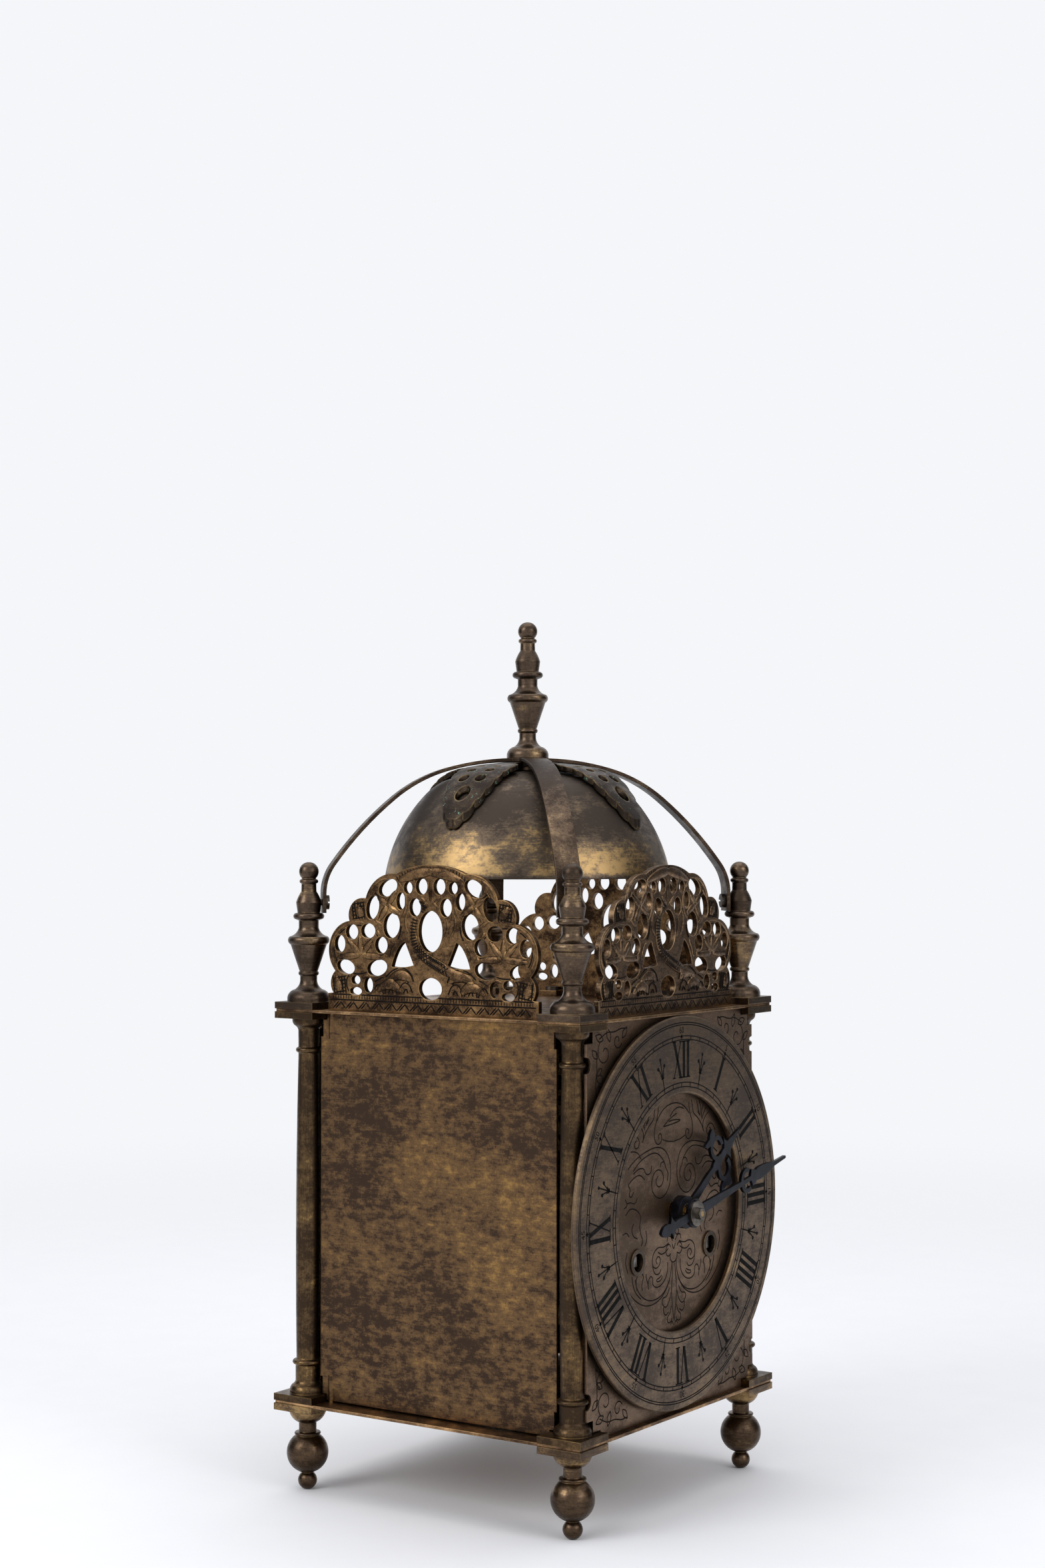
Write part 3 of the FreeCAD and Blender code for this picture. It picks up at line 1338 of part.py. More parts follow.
def make_going_train(places):
    """Wheels from the spring to the escapement, and the motion work behind the dial."""
    train, thick, tall = size("train_module"), size("wheel_thick"), size("pinion_thick")
    second, leaves = int(size("second_teeth")), int(size("second_leaves"))
    centre_leaves = int(size("centre_leaves"))
    here = places["intermediate"]
    phase = meshing(0.5, (centre_leaves, train), second, direction_of((0, 0), here))
    start = size("second_wheel_depth")
    great_middle = size("barrel_depth - 2 * wheel_thick / 3")
    shapes = [*arbor(), wheel(second, train, start, thick, phase),
              pinion(leaves, size("great_module"), great_middle - tall / 2, tall)]
    set_arbor("intermediate_wheel", one(shapes), here)

    module, teeth = size("centre_module"), int(size("centre_teeth"))
    depth = size("centre_wheel_depth")
    shapes = [*arbor(radius="centre_arbor_radius"),
              pinion(centre_leaves, train, start - thick / 3, tall - thick / 3),
              wheel(teeth, module, depth, thick),
              tube(size("arbor_radius"), size("movement_inner_front - arbor_shake"),
                   size("nut_front"))]
    set_arbor("centre_wheel", one(shapes), places["centre"])

    here = places["third"]
    mate = int(size("third_leaves"))
    phase = meshing(0.5, (teeth, module), mate, direction_of((0, 0), here))
    low = depth + thick / 2 - tall / 2
    third, third_teeth = size("third_module"), int(size("third_teeth"))
    level = size("third_wheel_depth")
    shapes = [*without_middle(arbor(), low, tall), pinion(mate, module, low, tall, phase),
              wheel(third_teeth, third, level, thick)]
    set_arbor("third_wheel", one(shapes), here)

    mate = int(size("escape_leaves"))
    phase = meshing(0.5, (third_teeth, third), mate,
                    direction_of(places["third"], places["escape"]))
    low = level + thick / 2 - tall / 2
    radius, count = size("escape_radius"), int(size("escape_teeth"))
    points = []
    for tooth in range(count):
        for reach, share in ((radius, 0), (radius * 0.92, 0.3), (radius * 0.92, 0.75)):
            points.append((*polar(reach, 360 * (tooth + share) / count), 0))
    rim = crossed(ring_face(points), radius * 0.78, size("arbor_radius * 2.5"))
    shapes = [*without_middle(arbor(), low, tall), pinion(mate, third, low, tall, phase),
              slab(rim, size("escape_depth"), thick * 2 / 3)]
    set_arbor("escape_wheel", one(shapes), places["escape"])


def make_motion_work(places):
    """Cannon pinion, minute wheel and hour wheel."""
    module, thick = size("motion_module"), size("wheel_thick")
    cannon, minute = int(size("cannon_leaves")), int(size("minute_teeth"))
    bore = size("arbor_radius + fit_gap")
    low, high = size("motion_depth"), size("hour_wheel_depth")
    start = size("movement_front + seat_gap")
    shapes = [tube(size("cannon_radius"), start, size("minute_hand_front")),
              pinion(cannon, module, low, thick)]
    cannon_shape = one(shapes).cut(tube(bore, start - thick, size("nut_front")))
    set_arbor("cannon_pinion", cannon_shape, places["centre"])

    here = places["minute"]
    phase = meshing(0.5, (cannon, module), minute, 90)
    pitch = size("motion_module * (cannon_leaves + minute_teeth)")
    fine = pitch / size("minute_leaves + hour_teeth")
    leaves, hours = int(size("minute_leaves")), int(size("hour_teeth"))
    shapes = [wheel(minute, module, low, thick, phase, "click_stud_radius * 2.5"),
              pinion(leaves, fine, low, high + thick - low)]
    stud = size("click_stud_radius + fit_gap")
    minute_shape = one(shapes).cut(tube(stud, low - thick, high + 2 * thick))
    set_arbor("minute_wheel", minute_shape, here)

    phase = meshing(0.5, (leaves, fine), hours, -90)
    pipe = size("cannon_radius + fit_gap * 5")
    shapes = [tube(size("hour_pipe_radius"), low + thick + size("seat_gap"),
                   size("hour_hand_front")),
              slab(gear_face(hours, fine, WHEEL_TOOTH_SHARES, phase), high, thick)]
    hour_shape = one(shapes).cut(tube(pipe, low, size("hour_hand_front + overrun")))
    set_arbor("hour_wheel", hour_shape, places["centre"])


def make_anchor(places):
    """Anchor over the escape wheel, with the short pendulum on its arbor behind."""
    rise, turn = size("anchor_rise"), size("pallet_turn")
    inner = size("escape_radius + pallet_gap")
    outer = inner + size("arbor_radius") * 1.8
    start, thick = size("escape_depth"), size("wheel_thick * 2 / 3")
    bend = math.tan(math.radians(turn) / 2)
    band = [(*polar(inner, 90 + turn, 0, -rise), 0), (*polar(inner, 90 - turn, 0, -rise), -bend),
            (*polar(outer, 90 - turn, 0, -rise), 0), (*polar(outer, 90 + turn, 0, -rise), bend)]
    half = size("arbor_radius") * 1.5
    neck = [(-half, 0, 0), (half, 0, 0), (half, outer - rise - half / 2, 0),
            (-half, outer - rise - half / 2, 0)]
    shapes = [*arbor(back="cock_back"), slab(ring_face(band), start, thick),
              slab(ring_face(neck), start, thick),
              slab(disc(size("arbor_radius * 2")), start, thick),
              tube(size("arbor_radius"), size("cock_front + arbor_shake"),
                   size("movement_inner_back + arbor_shake"))]
    set_arbor("anchor", one(shapes), places["anchor"])
    depth = size("pendulum_depth")
    length, bob = size("pendulum_length"), size("bob_radius")
    bob_thick = size("bob_thick")
    hub = size("arbor_radius * 2")
    rod_bar = Part.makeCylinder(size("rod_radius"), length, Vector(0, -length, depth),
                                Vector(0, 1, 0))
    bob_disc = tube(bob, depth - bob_thick / 2, depth + bob_thick / 2)
    bob_disc.translate(Vector(0, -length, 0))
    shapes = [tube(hub, depth - bob_thick / 2, depth + bob_thick / 2), rod_bar, bob_disc]
    bore = tube(size("arbor_radius + fit_gap"), depth - bob_thick, depth + bob_thick)
    set_arbor("pendulum", one(shapes).cut(bore), places["anchor"])
    make_cock(places["anchor"])


def make_cock(place):
    """Bracket on the back plate that carries the anchor's rear pivot."""
    half, plate = size("cock_width / 2"), size("movement_plate")
    foot = size("cock_width / 2")
    top = size("movement_above - 2 * movement_plate") - place[1]
    wall = Part.makeBox(2 * half, top + half, plate)
    wall.translate(Vector(-half, -half, size("cock_back")))
    arm = Part.makeBox(2 * half, foot, size("movement_back - cock_front"))
    arm.translate(Vector(-half, top - foot, size("cock_front")))
    bore = tube(size("arbor_bore"), size("cock_back - overrun"), size("cock_front + overrun"))
    set_arbor("back_cock", one([wall, arm]).cut(bore), place)


def make_strike_train(places):
    """Pin wheel, locking wheel, fly and hammer."""
    train, thick, tall = size("train_module"), size("wheel_thick"), size("pinion_thick")
    second, leaves = int(size("second_teeth")), int(size("second_leaves"))
    start = size("pin_wheel_depth")
    great_middle = size("barrel_depth - 2 * wheel_thick / 3")
    shapes = [*arbor(), wheel(second, train, start, thick),
              pinion(leaves, size("great_module"), great_middle - tall / 2, tall)]
    count = int(size("lift_pins"))
    for index in range(count):
        pin = tube(size("pin_radius"), start + thick / 2, start + thick + size("pin_length"))
        pin.translate(Vector(*polar(size("pin_circle"), 360 * index / count), 0))
        shapes.append(pin)
    set_arbor("pin_wheel", one(shapes), places["pins"])

    here = places["locking"]
    mate, teeth = int(size("locking_leaves")), int(size("locking_teeth"))
    phase = meshing(0.5, (second, train), mate, direction_of(places["pins"], here))
    module, level = size("locking_module"), size("locking_wheel_depth")
    shapes = [*arbor(), pinion(mate, train, start - thick / 4, tall - thick / 3, phase),
              wheel(teeth, module, level, thick * 4 / 5)]
    set_arbor("locking_wheel", one(shapes), here)

    mate = int(size("fly_leaves"))
    phase = meshing(0.5, (teeth, module), mate, direction_of(here, places["fly"]))
    wide, long = size("fly_width"), size("fly_length")
    vane = Part.makeBox(wide, size("fly_thick"), long)
    vane.translate(Vector(-wide / 2, -size("fly_thick") / 2, size("fly_depth")))
    shapes = [*arbor(), pinion(mate, module, level - thick / 4, thick * 4 / 3, phase), vane]
    set_arbor("fly", one(shapes), places["fly"])
    make_hammer(places)


def bell_reach(height):
    """Inner radius of the bell at a height over its rim."""
    (x0, z0, b0), (x1, z1, b1) = [(size(x), size(z), b) for x, z, b in
                                  bell_line("-bell_wall", "-bell_wall")[2:4]]
    chord = math.hypot(x1 - x0, z1 - z0)
    half = 2 * math.atan(abs(b1))
    radius = chord / (2 * math.sin(half))
    away = radius * math.cos(half)
    ux, uz = (x1 - x0) / chord, (z1 - z0) / chord
    middle = ((x0 + x1) / 2 + uz * away, (z0 + z1) / 2 - ux * away)
    return middle[0] + math.sqrt(radius ** 2 - (height - middle[1]) ** 2)


def make_hammer(places):
    """Hammer on its arbor: tail at the pins, rod through the top plate, head in the bell."""
    here = places["hammer"]
    depth, thick = size("hammer_depth"), size("ratchet_thick")
    wide = size("arbor_radius * 2")
    tail_depth = size("pin_wheel_depth + wheel_thick + seat_gap")
    reach = size("pin_circle + pin_radius + seat_gap * 2") + wide / 2
    x, y = polar(reach, size("hammer_tail_turn"), *places["pins"])
    x, y = x - here[0], y - here[1]
    tail = [(-wide / 2, 0, 0), (x - wide / 3, y, 0), (x + wide / 3, y, 0), (wide / 2, 0, 0)]
    head_rise = size("bell_rim_z + hammer_rim_rise - dial_z") - here[1]
    rod_bar = Part.makeCylinder(size("hammer_rod_radius"), head_rise, Vector(0, 0, depth),
                                Vector(0, 1, 0))
    radius = size("hammer_head_radius")
    inside = bell_reach(size("hammer_rim_rise + hammer_head_radius"))
    end = size("hammer_side") - math.sqrt(inside ** 2 - (depth + radius) ** 2)
    end += size("hammer_bell_gap")
    head = Part.makeCylinder(radius, size("hammer_head_radius") - end,
                             Vector(end, head_rise, depth), Vector(1, 0, 0))
    shapes = [*arbor(), tube(wide, tail_depth, tail_depth + thick),
              slab(ring_face(tail), tail_depth, thick),
              tube(wide, depth - wide, depth + wide), rod_bar, head]
    set_arbor("hammer", one(shapes), here)


def make_frame(places):
    """Two plates of the movement, their pillars, and the feet that carry the dial plate."""
    half, low, high = size("movement_half"), size("movement_below"), size("movement_above")
    inset, plate = size("movement_pillar_inset"), size("movement_plate")
    corners = [(x * (half - inset), y) for x in (-1, 1) for y in (inset - low, high - inset)]
    feet = [(x * size("dial_foot_spread"), size(y)) for x in (-1, 1)
            for y in ("dial_foot_low", "dial_foot_high")]
    run = size("overrun")
    plates = {"movement_front_plate": size("movement_inner_front"),
              "movement_back_plate": size("movement_back")}
    for name, start in plates.items():
        front = name == "movement_front_plate"
        sheet_plate = Part.makeBox(2 * half, low + high, plate, Vector(-half, -low, start))
        holes = {place: "arbor_bore" for place in places.values()}
        holes |= {place: "tenon_bore" for place in corners + (feet if front else [])}
        del holes[places["minute"]]
        holes[places["going"]] = holes[places["strike"]] = (
            "winding_arbor_radius + fit_gap" if front else "winding_arbor_radius / 2 + fit_gap")
        if front:
            holes[places["centre"]] = "arbor_radius + fit_gap"
        else:
            holes[places["anchor"]] = "arbor_radius * 2"
        tools = []
        for (x, y), radius in holes.items():
            tool = tube(size(radius), start - run, start + plate + run)
            tool.translate(Vector(x, y, 0))
            tools.append(tool)
        shape = sheet_plate.cut(tools)
        if front:
            shape = one([shape, *plate_studs(places)])
        keep(name, shaped(name, shape), ("0", "0", "dial_z"), FORWARD)
    back, front = size("movement_back"), size("movement_front")
    posts = []
    for x, y in corners:
        inner_back, inner_front = size("movement_inner_back"), size("movement_inner_front")
        rivet = size("rivet_thick")
        bar = one([tube(size("movement_pillar_radius"), inner_back, inner_front),
                   tube(size("tenon_radius"), back, front),
                   tube(size("rivet_radius"), back - rivet, back),
                   tube(size("rivet_radius"), front, front + rivet)])
        bar.translate(Vector(x, y, 0))
        posts.append(shaped("movement_pillar", bar))
    keep("movement_pillars", group("movement_pillars", posts), ("0", "0", "dial_z"), FORWARD)
    dial_feet = []
    face = size("dial_plate_front")
    for x, y in feet:
        bar = one([tube(size("dial_foot_radius"), front, face - size("sheet_thick")),
                   tube(size("tenon_radius"), front - plate, face)])
        bar.translate(Vector(x, y, 0))
        dial_feet.append(shaped("dial_foot", bar))
    keep("dial_feet", group("dial_feet", dial_feet), ("0", "0", "dial_z"), FORWARD)


def plate_studs(places):
    """Studs on the front plate for the minute wheel and for both clicks."""
    radius = size("click_stud_radius")
    start = size("movement_inner_front + movement_plate / 2")
    ratchet = size("movement_front + seat_gap + ratchet_thick")
    ends = {places["minute"]: size("hour_wheel_depth + wheel_thick + seat_gap"),
            click_place(places["going"], 1): ratchet + size("seat_gap"),
            click_place(places["strike"], -1): ratchet + size("seat_gap")}
    studs = []
    for (x, y), end in ends.items():
        stud = tube(radius, start, end)
        stud.translate(Vector(x, y, 0))
        studs.append(stud)
    return studs


def checked():
    """Stop if any object failed or any sub-part is empty or broken."""
    bad = [item.Name for item in doc.Objects if {"Invalid", "Error"} & set(item.State)]
    bad += [name for name, item in nodes.items()
            if item.Shape.isNull() or not item.Shape.isValid() or not item.Shape.Solids]
    if bad:
        raise RuntimeError(f"not sound: {bad}")


def write_parts():
    os.makedirs("parts", exist_ok=True)
    for name, item in nodes.items():
        item.Shape.exportStep(f"parts/{name}.step")
    print(f"{len(nodes)} sub-parts written")


def main():
    fill_sheet()
    make_feet()
    make_pillars()
    make_finials()
    make_studs()
    make_plates()
    make_doors()
    make_panels()
    make_brackets()
    make_chapter_ring()
    make_eyelets()
    make_hands()
    make_bell()
    make_strap()
    make_screws()
    make_ornament()
    make_frets()
    places = arbor_places()
    make_frame(places)
    make_barrels(places)
    make_going_train(places)
    make_motion_work(places)
    make_anchor(places)
    make_strike_train(places)
    doc.recompute()
    checked()
    write_parts()


main()
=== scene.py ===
"""Looks of the brass lantern clock: patina, dial engraving, chased frets, light and camera.

Sizes below are millimetres, unless a comment says otherwise. Every piece is drawn flat in its own
frame, whose x is to the right, whose y is up and whose z comes towards whoever looks at it, and is
then laid into the clock's frame in metres.
"""

import logging
import math
from contextlib import contextmanager
from dataclasses import dataclass
from enum import Enum
from functools import partial
from typing import Any, Callable, Dict, Iterator, List, Optional, Sequence, Tuple, Union

import bpy
from mathutils import Matrix, Vector

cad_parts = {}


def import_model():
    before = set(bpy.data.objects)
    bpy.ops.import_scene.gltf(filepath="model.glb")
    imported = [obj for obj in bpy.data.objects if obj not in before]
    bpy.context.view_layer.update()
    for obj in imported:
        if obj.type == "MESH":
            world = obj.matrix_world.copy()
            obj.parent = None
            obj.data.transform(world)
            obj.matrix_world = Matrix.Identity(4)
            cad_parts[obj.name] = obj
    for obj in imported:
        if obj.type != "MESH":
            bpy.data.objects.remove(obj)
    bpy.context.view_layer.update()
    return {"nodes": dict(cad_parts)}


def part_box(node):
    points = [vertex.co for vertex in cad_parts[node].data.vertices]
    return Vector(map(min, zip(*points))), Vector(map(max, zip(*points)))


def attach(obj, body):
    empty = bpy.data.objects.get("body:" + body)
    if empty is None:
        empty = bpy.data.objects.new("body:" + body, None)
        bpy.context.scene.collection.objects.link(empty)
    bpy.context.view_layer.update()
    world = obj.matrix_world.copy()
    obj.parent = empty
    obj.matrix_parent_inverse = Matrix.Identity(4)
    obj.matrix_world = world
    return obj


log = logging.getLogger("lantern_clock")

MM = 0.001
FIXED_BODY = "case"
Point = Tuple[float, float]
Path = List[Point]
Span = Tuple[float, float]
Spot = Tuple[float, float, float]
Colour = Tuple[float, float, float, float]
Piece = bpy.types.Object
Metal = bpy.types.Material
# The turn that stands a flat piece up, so that it faces the front.
STANDING = Matrix.Rotation(math.radians(90), 4, "X")
# Degrees from one hour to the next.
HOUR_TURN = 30
# Settings that several shader nodes share.
SMOOTH = {"interpolation_type": "SMOOTHSTEP"}
RGBA = {"data_type": "RGBA"}


class Brush(Enum):
    """Which way the polishing marks run, as how much longer they are along X, Y and Z."""

    NONE = (1.0, 1.0, 1.0)
    LEVEL = (14.0, 14.0, 1.0)
    UPRIGHT = (1.0, 1.0, 14.0)
    ACROSS = (14.0, 1.0, 1.0)


class Side(Enum):
    """Sides of the case that carry a fret, as the turn about Z from the front, in degrees."""

    FRONT = 0
    LEFT = -90
    RIGHT = 90


def linear(code: str) -> Colour:
    """Turns an sRGB hex colour into linear red, green, blue and alpha.

    Args:
        code: six hex digits after a hash sign.

    Returns:
        The linear colour, with alpha 1.
    """
    parts = [int(code[i : i + 2], 16) / 255 for i in (1, 3, 5)]
    flat = [c / 12.92 if c <= 0.04045 else ((c + 0.055) / 1.055) ** 2.4 for c in parts]
    return (flat[0], flat[1], flat[2], 1.0)


def add_node(
    tree: bpy.types.NodeTree,
    kind: str,
    inputs: Optional[Dict[Any, Any]] = None,
    out: Union[int, str] = 0,
    **settings: Any,
) -> Optional[bpy.types.NodeSocket]:
    """Adds one shader node, sets it and links it.

    Args:
        tree: the tree to add to.
        kind: the node's type name, without the part that all shader nodes share.
        inputs: socket name or number to a value, or to the socket that feeds it.
        out: name or number of the output wanted.
        **settings: the node's own settings.

    Returns:
        That output, or None where the node has no outputs.
    """
    node = tree.nodes.new("ShaderNode" + kind)
    for key, value in settings.items():
        setattr(node, key, value)
    for key, value in (inputs or {}).items():
        if isinstance(value, bpy.types.NodeSocket):
            tree.links.new(value, node.inputs[key])
        else:
            node.inputs[key].default_value = value
    return node.outputs[out] if len(node.outputs) else None


def new_metal(name: str) -> Tuple[Metal, Callable[..., Any]]:
    """Makes an empty node material.

    Args:
        name: the real material's name.

    Returns:
        The material, and add_node for its tree.
    """
    material = bpy.data.materials.new(name)
    material.use_nodes = True
    material.node_tree.nodes.clear()
    return material, partial(add_node, material.node_tree)


@dataclass(frozen=True)
class Brass:
    """Brass under an old patina.

    Dark clouds of tarnish lie over a browner middle tone; where hands and cloths have rubbed, and
    along the edges, the golden metal comes through. Tarnish is rougher than rubbed metal.

    Attributes:
        name: the real material's name.
        parts: beginnings of the names of the nodes that have it.
        dark: colour of tarnish.
        mid: colour between tarnish and rubbed metal.
        bright: colour of rubbed metal.
        cloud: size of the clouds.
        speck: size of the finest specks.
        brush: which way the polishing marks run.
        golden: how much golden metal shows, from 0 to 1.
        rough: roughness of rubbed metal and of tarnish.
        wear: how strongly edges are rubbed.
        edge: how wide they are rubbed.
        relief: height of the surface's unevenness.
        band: lowest and highest Z of a lighter zone, and how much lighter it is; rubbed metal on the
            feet, partly a painted highlight on the bell.
        green: how much verdigris there is.
        broad: weight of the clouds in the tone.
        torn: weight of the ragged spots in the tone.
        tear: size of the ragged spots.
        hollow_shade: how far from a wall painted shade darkens the recesses, or 0 for none.
    """

    name: str
    parts: Tuple[str, ...]
    dark: str
    mid: str
    bright: str
    cloud: float = 16.0
    speck: float = 1.6
    brush: Brush = Brush.LEVEL
    golden: float = 0.35
    rough: Span = (0.34, 0.56)
    wear: float = 0.55
    edge: float = 0.7
    relief: float = 0.05
    band: Optional[Spot] = None
    green: float = 0.0
    broad: float = 0.62
    torn: float = 0.62
    tear: float = 3.4
    hollow_shade: float = 0.0

    def material(self) -> Metal:
        """Wires the finish.

        Returns:
            The material, which reads the piece's own Object coordinates.
        """
        made, add = new_metal(self.name)
        place = add("TexCoord", out="Object")
        in_mm = add("Mapping", {"Vector": place, "Scale": (1 / MM,) * 3})
        # Tarnish spreads sideways, along the metal's rolling, more than up and down.
        sideways = 0.62
        drawn_out = add("Mapping", {"Vector": in_mm, "Scale": (sideways, sideways, 1.0)})
        along = add("Mapping", {"Vector": in_mm, "Scale": tuple(1 / long for long in self.brush.value)})
        # Tarnish ends in ragged spots a few millimetres across. Polishing marks are finer than this in
        # life; at the picture's scale they are drawn wider.
        mark_width = 0.5
        clouds, ragged, specks, marks = [
            add("TexNoise", {"Vector": where, "Scale": 1 / size, "Detail": detail, "Roughness": rough})
            for where, size, detail, rough in (
                (drawn_out, self.cloud, 2.0, 0.5),
                (drawn_out, self.tear, 8.0, 0.74),
                (in_mm, self.speck, 3.0, 0.6),
                (along, mark_width, 3.0, 0.6),
            )
        ]
        # Every pattern is even about one half, and so is the tone that they add up to.
        even, slight = 0.5, 0.2
        fine = add("Math", {0: specks, 1: slight, 2: -slight}, operation="MULTIPLY_ADD")
        fine = add("Math", {0: marks, 1: slight, 2: fine}, operation="MULTIPLY_ADD")
        tone = add("Math", {0: ragged, 1: self.torn, 2: fine}, operation="MULTIPLY_ADD")
        tone = add("Math", {0: clouds, 1: self.broad, 2: tone}, operation="MULTIPLY_ADD")
        surplus = (self.broad + self.torn) / 2 - even
        tone = add("Math", {0: tone, 1: surplus}, operation="SUBTRACT")
        # A band lightens the tone between two heights: rubbed metal, and on the bell partly a painted
        # highlight.
        if self.band:
            low, top, gain = self.band
            rise_end, fall_start = low + 3.0, low + 2.0
            height = add("SeparateXYZ", {0: in_mm}, out="Z")
            rise, fall = [
                add("MapRange", {"Value": height, "From Min": start, "From Max": end}, **SMOOTH)
                for start, end in ((low, rise_end), (top, fall_start))
            ]
            zone = add("Math", {0: rise, 1: fall}, operation="MULTIPLY")
            tone = add("Math", {0: zone, 1: gain, 2: tone}, operation="MULTIPLY_ADD")
        # More golden metal shows as the tones at which tarnish ends and rubbing starts come down.
        all_dark, drop = 0.58, 0.24
        middle = all_dark - drop * self.golden
        clear, rubbed = [
            add("MapRange", {"Value": tone, "From Min": start, "From Max": end}, **SMOOTH)
            for start, end in ((middle - 0.1, middle + 0.05), (middle + 0.03, middle + 0.24))
        ]
        colour = add("Mix", {0: clear, 6: linear(self.dark), 7: linear(self.mid)}, 2, **RGBA)
        # The rounded normal leaves the true one only near an edge, which is where rubbing shows.
        rounded = add("Bevel", {"Radius": self.edge * MM}, samples=4)
        true = add("NewGeometry", out="Normal")
        flat = add("VectorMath", {0: rounded, 1: true}, 1, operation="DOT_PRODUCT")
        rub = add("MapRange", {"Value": flat, "From Min": 0.985, "From Max": 0.8, "To Max": self.wear})
        patchy = add("MapRange", {"Value": clouds, "From Min": 0.3, "From Max": 0.62, "To Min": 0.35})
        rub = add("Math", {0: rub, 1: patchy}, operation="MULTIPLY")
        gold = add("Math", {0: rubbed, 1: rub}, operation="MAXIMUM")
        colour = add("Mix", {0: gold, 6: colour, 7: linear(self.bright)}, 2, **RGBA)
        if self.hollow_shade:
            # Painted shade: the colour darkens towards the tarnish in the chased recesses, where the
            # occlusion test meets walls close by.
            open_air = add(
                "AmbientOcclusion", {"Distance": self.hollow_shade * MM}, "AO", samples=4, only_local=True
            )
            unshaded = add("MapRange", {"Value": open_air, "From Min": 0.35, "From Max": 0.9})
            colour = add("Mix", {0: unshaded, 6: linear(self.dark), 7: colour}, 2, **RGBA)
        polished, tarnished = self.rough
        shine = add("MapRange", {"Value": clear, "To Min": tarnished, "To Max": polished})
        shine = add("Math", {0: fine, 1: 0.8, 2: shine}, operation="MULTIPLY_ADD")
        metal = 1.0
        if self.green:
            # Verdigris shows as a dull, pale green crust, in spots of 3 mm.
            crust = add("TexNoise", {"Vector": in_mm, "Scale": 0.35, "Detail": 4.0, "Roughness": 0.7})
            crust = add(
                "MapRange",
                {"Value": crust, "From Min": 0.62, "From Max": 0.7, "To Max": self.green},
                **SMOOTH,
            )
            colour = add("Mix", {0: crust, 6: colour, 7: linear("#6f9a86")}, 2, **RGBA)
            metal = add("Math", {0: 1.0, 1: crust}, operation="SUBTRACT")
        bumps = add("Math", {0: clouds, 1: 0.5, 2: fine}, operation="MULTIPLY_ADD")
        normal = add(
            "Bump",
            {"Strength": 1.0, "Distance": self.relief * MM, "Height": bumps, "Normal": rounded},
            "Normal",
        )
        surface = add(
            "BsdfPrincipled",
            {"Base Color": colour, "Metallic": metal, "Roughness": shine, "Normal": normal},
            "BSDF",
        )
        add("OutputMaterial", {"Surface": surface})
        return made


@dataclass(frozen=True)
class Steel:
    """Steel, ground bright or heated to a blue-black; small pits and a film of oil break its shine.

    Attributes:
        name: the real material's name.
        parts: beginnings of the names of the nodes that have it.
        body: colour of bare steel.
        light: colour where the film is thin.
        rough: lowest and highest roughness.
        metal: how metallic it is.
    """

    name: str
    parts: Tuple[str, ...]
    body: str
    light: str
    rough: Span = (0.28, 0.45)
    metal: float = 1.0

    def material(self) -> Metal:
        """Wires the finish.

        Returns:
            The material.
        """
        made, add = new_metal(self.name)
        place = add("TexCoord", out="Object")
        # The film lies in patches of some 5 mm, and pits are 0.7 mm across.
        film = add("TexNoise", {"Vector": place, "Scale": 180.0, "Detail": 4.0, "Roughness": 0.6})
        pits = add("TexNoise", {"Vector": place, "Scale": 1400.0, "Detail": 2.0})
        amount = add("MapRange", {"Value": film, "From Min": 0.4, "From Max": 0.68}, **SMOOTH)
        rounded = add("Bevel", {"Radius": 0.25 * MM}, samples=4)
        colour = add("Mix", {0: amount, 6: linear(self.body), 7: linear(self.light)}, 2, **RGBA)
        smooth, dull = self.rough
        shine = add(
            "MapRange",
            {"Value": film, "From Min": 0.3, "From Max": 0.7, "To Min": smooth, "To Max": dull},
        )
        normal = add(
            "Bump", {"Strength": 0.6, "Distance": 0.02 * MM, "Height": pits, "Normal": rounded}, "Normal"
        )
        surface = add(
            "BsdfPrincipled",
            {"Base Color": colour, "Metallic": self.metal, "Roughness": shine, "Normal": normal},
            "BSDF",
        )
        add("OutputMaterial", {"Surface": surface})
        return made


@dataclass(frozen=True)
class Filling:
    """Black wax and old dirt that fill the engraver's cuts, dull with a few worn, browner places.

    Attributes:
        name: the real material's name.
        body: its colour.
        worn: colour of the worn places.
    """

    name: str
    body: str
    worn: str

    def material(self) -> Metal:
        """Wires the finish.

        Returns:
            The material.
        """
        made, add = new_metal(self.name)
        place = add("TexCoord", out="Object")
        # Worn places are some 5 mm across.
        patch = add("TexNoise", {"Vector": place, "Scale": 220.0, "Detail": 5.0, "Roughness": 0.7})
        amount = add("MapRange", {"Value": patch, "From Min": 0.48, "From Max": 0.68}, **SMOOTH)
        colour = add("Mix", {0: amount, 6: linear(self.body), 7: linear(self.worn)}, 2, **RGBA)
        shine = add("MapRange", {"Value": patch, "To Min": 0.9, "To Max": 0.6})
        normal = add("Bump", {"Strength": 0.5, "Distance": 0.02 * MM, "Height": patch}, "Normal")
        surface = add(
            "BsdfPrincipled",
            {"Base Color": colour, "Specular IOR Level": 0.08, "Roughness": shine, "Normal": normal},
            "BSDF",
        )
        add("OutputMaterial", {"Surface": surface})
        return made


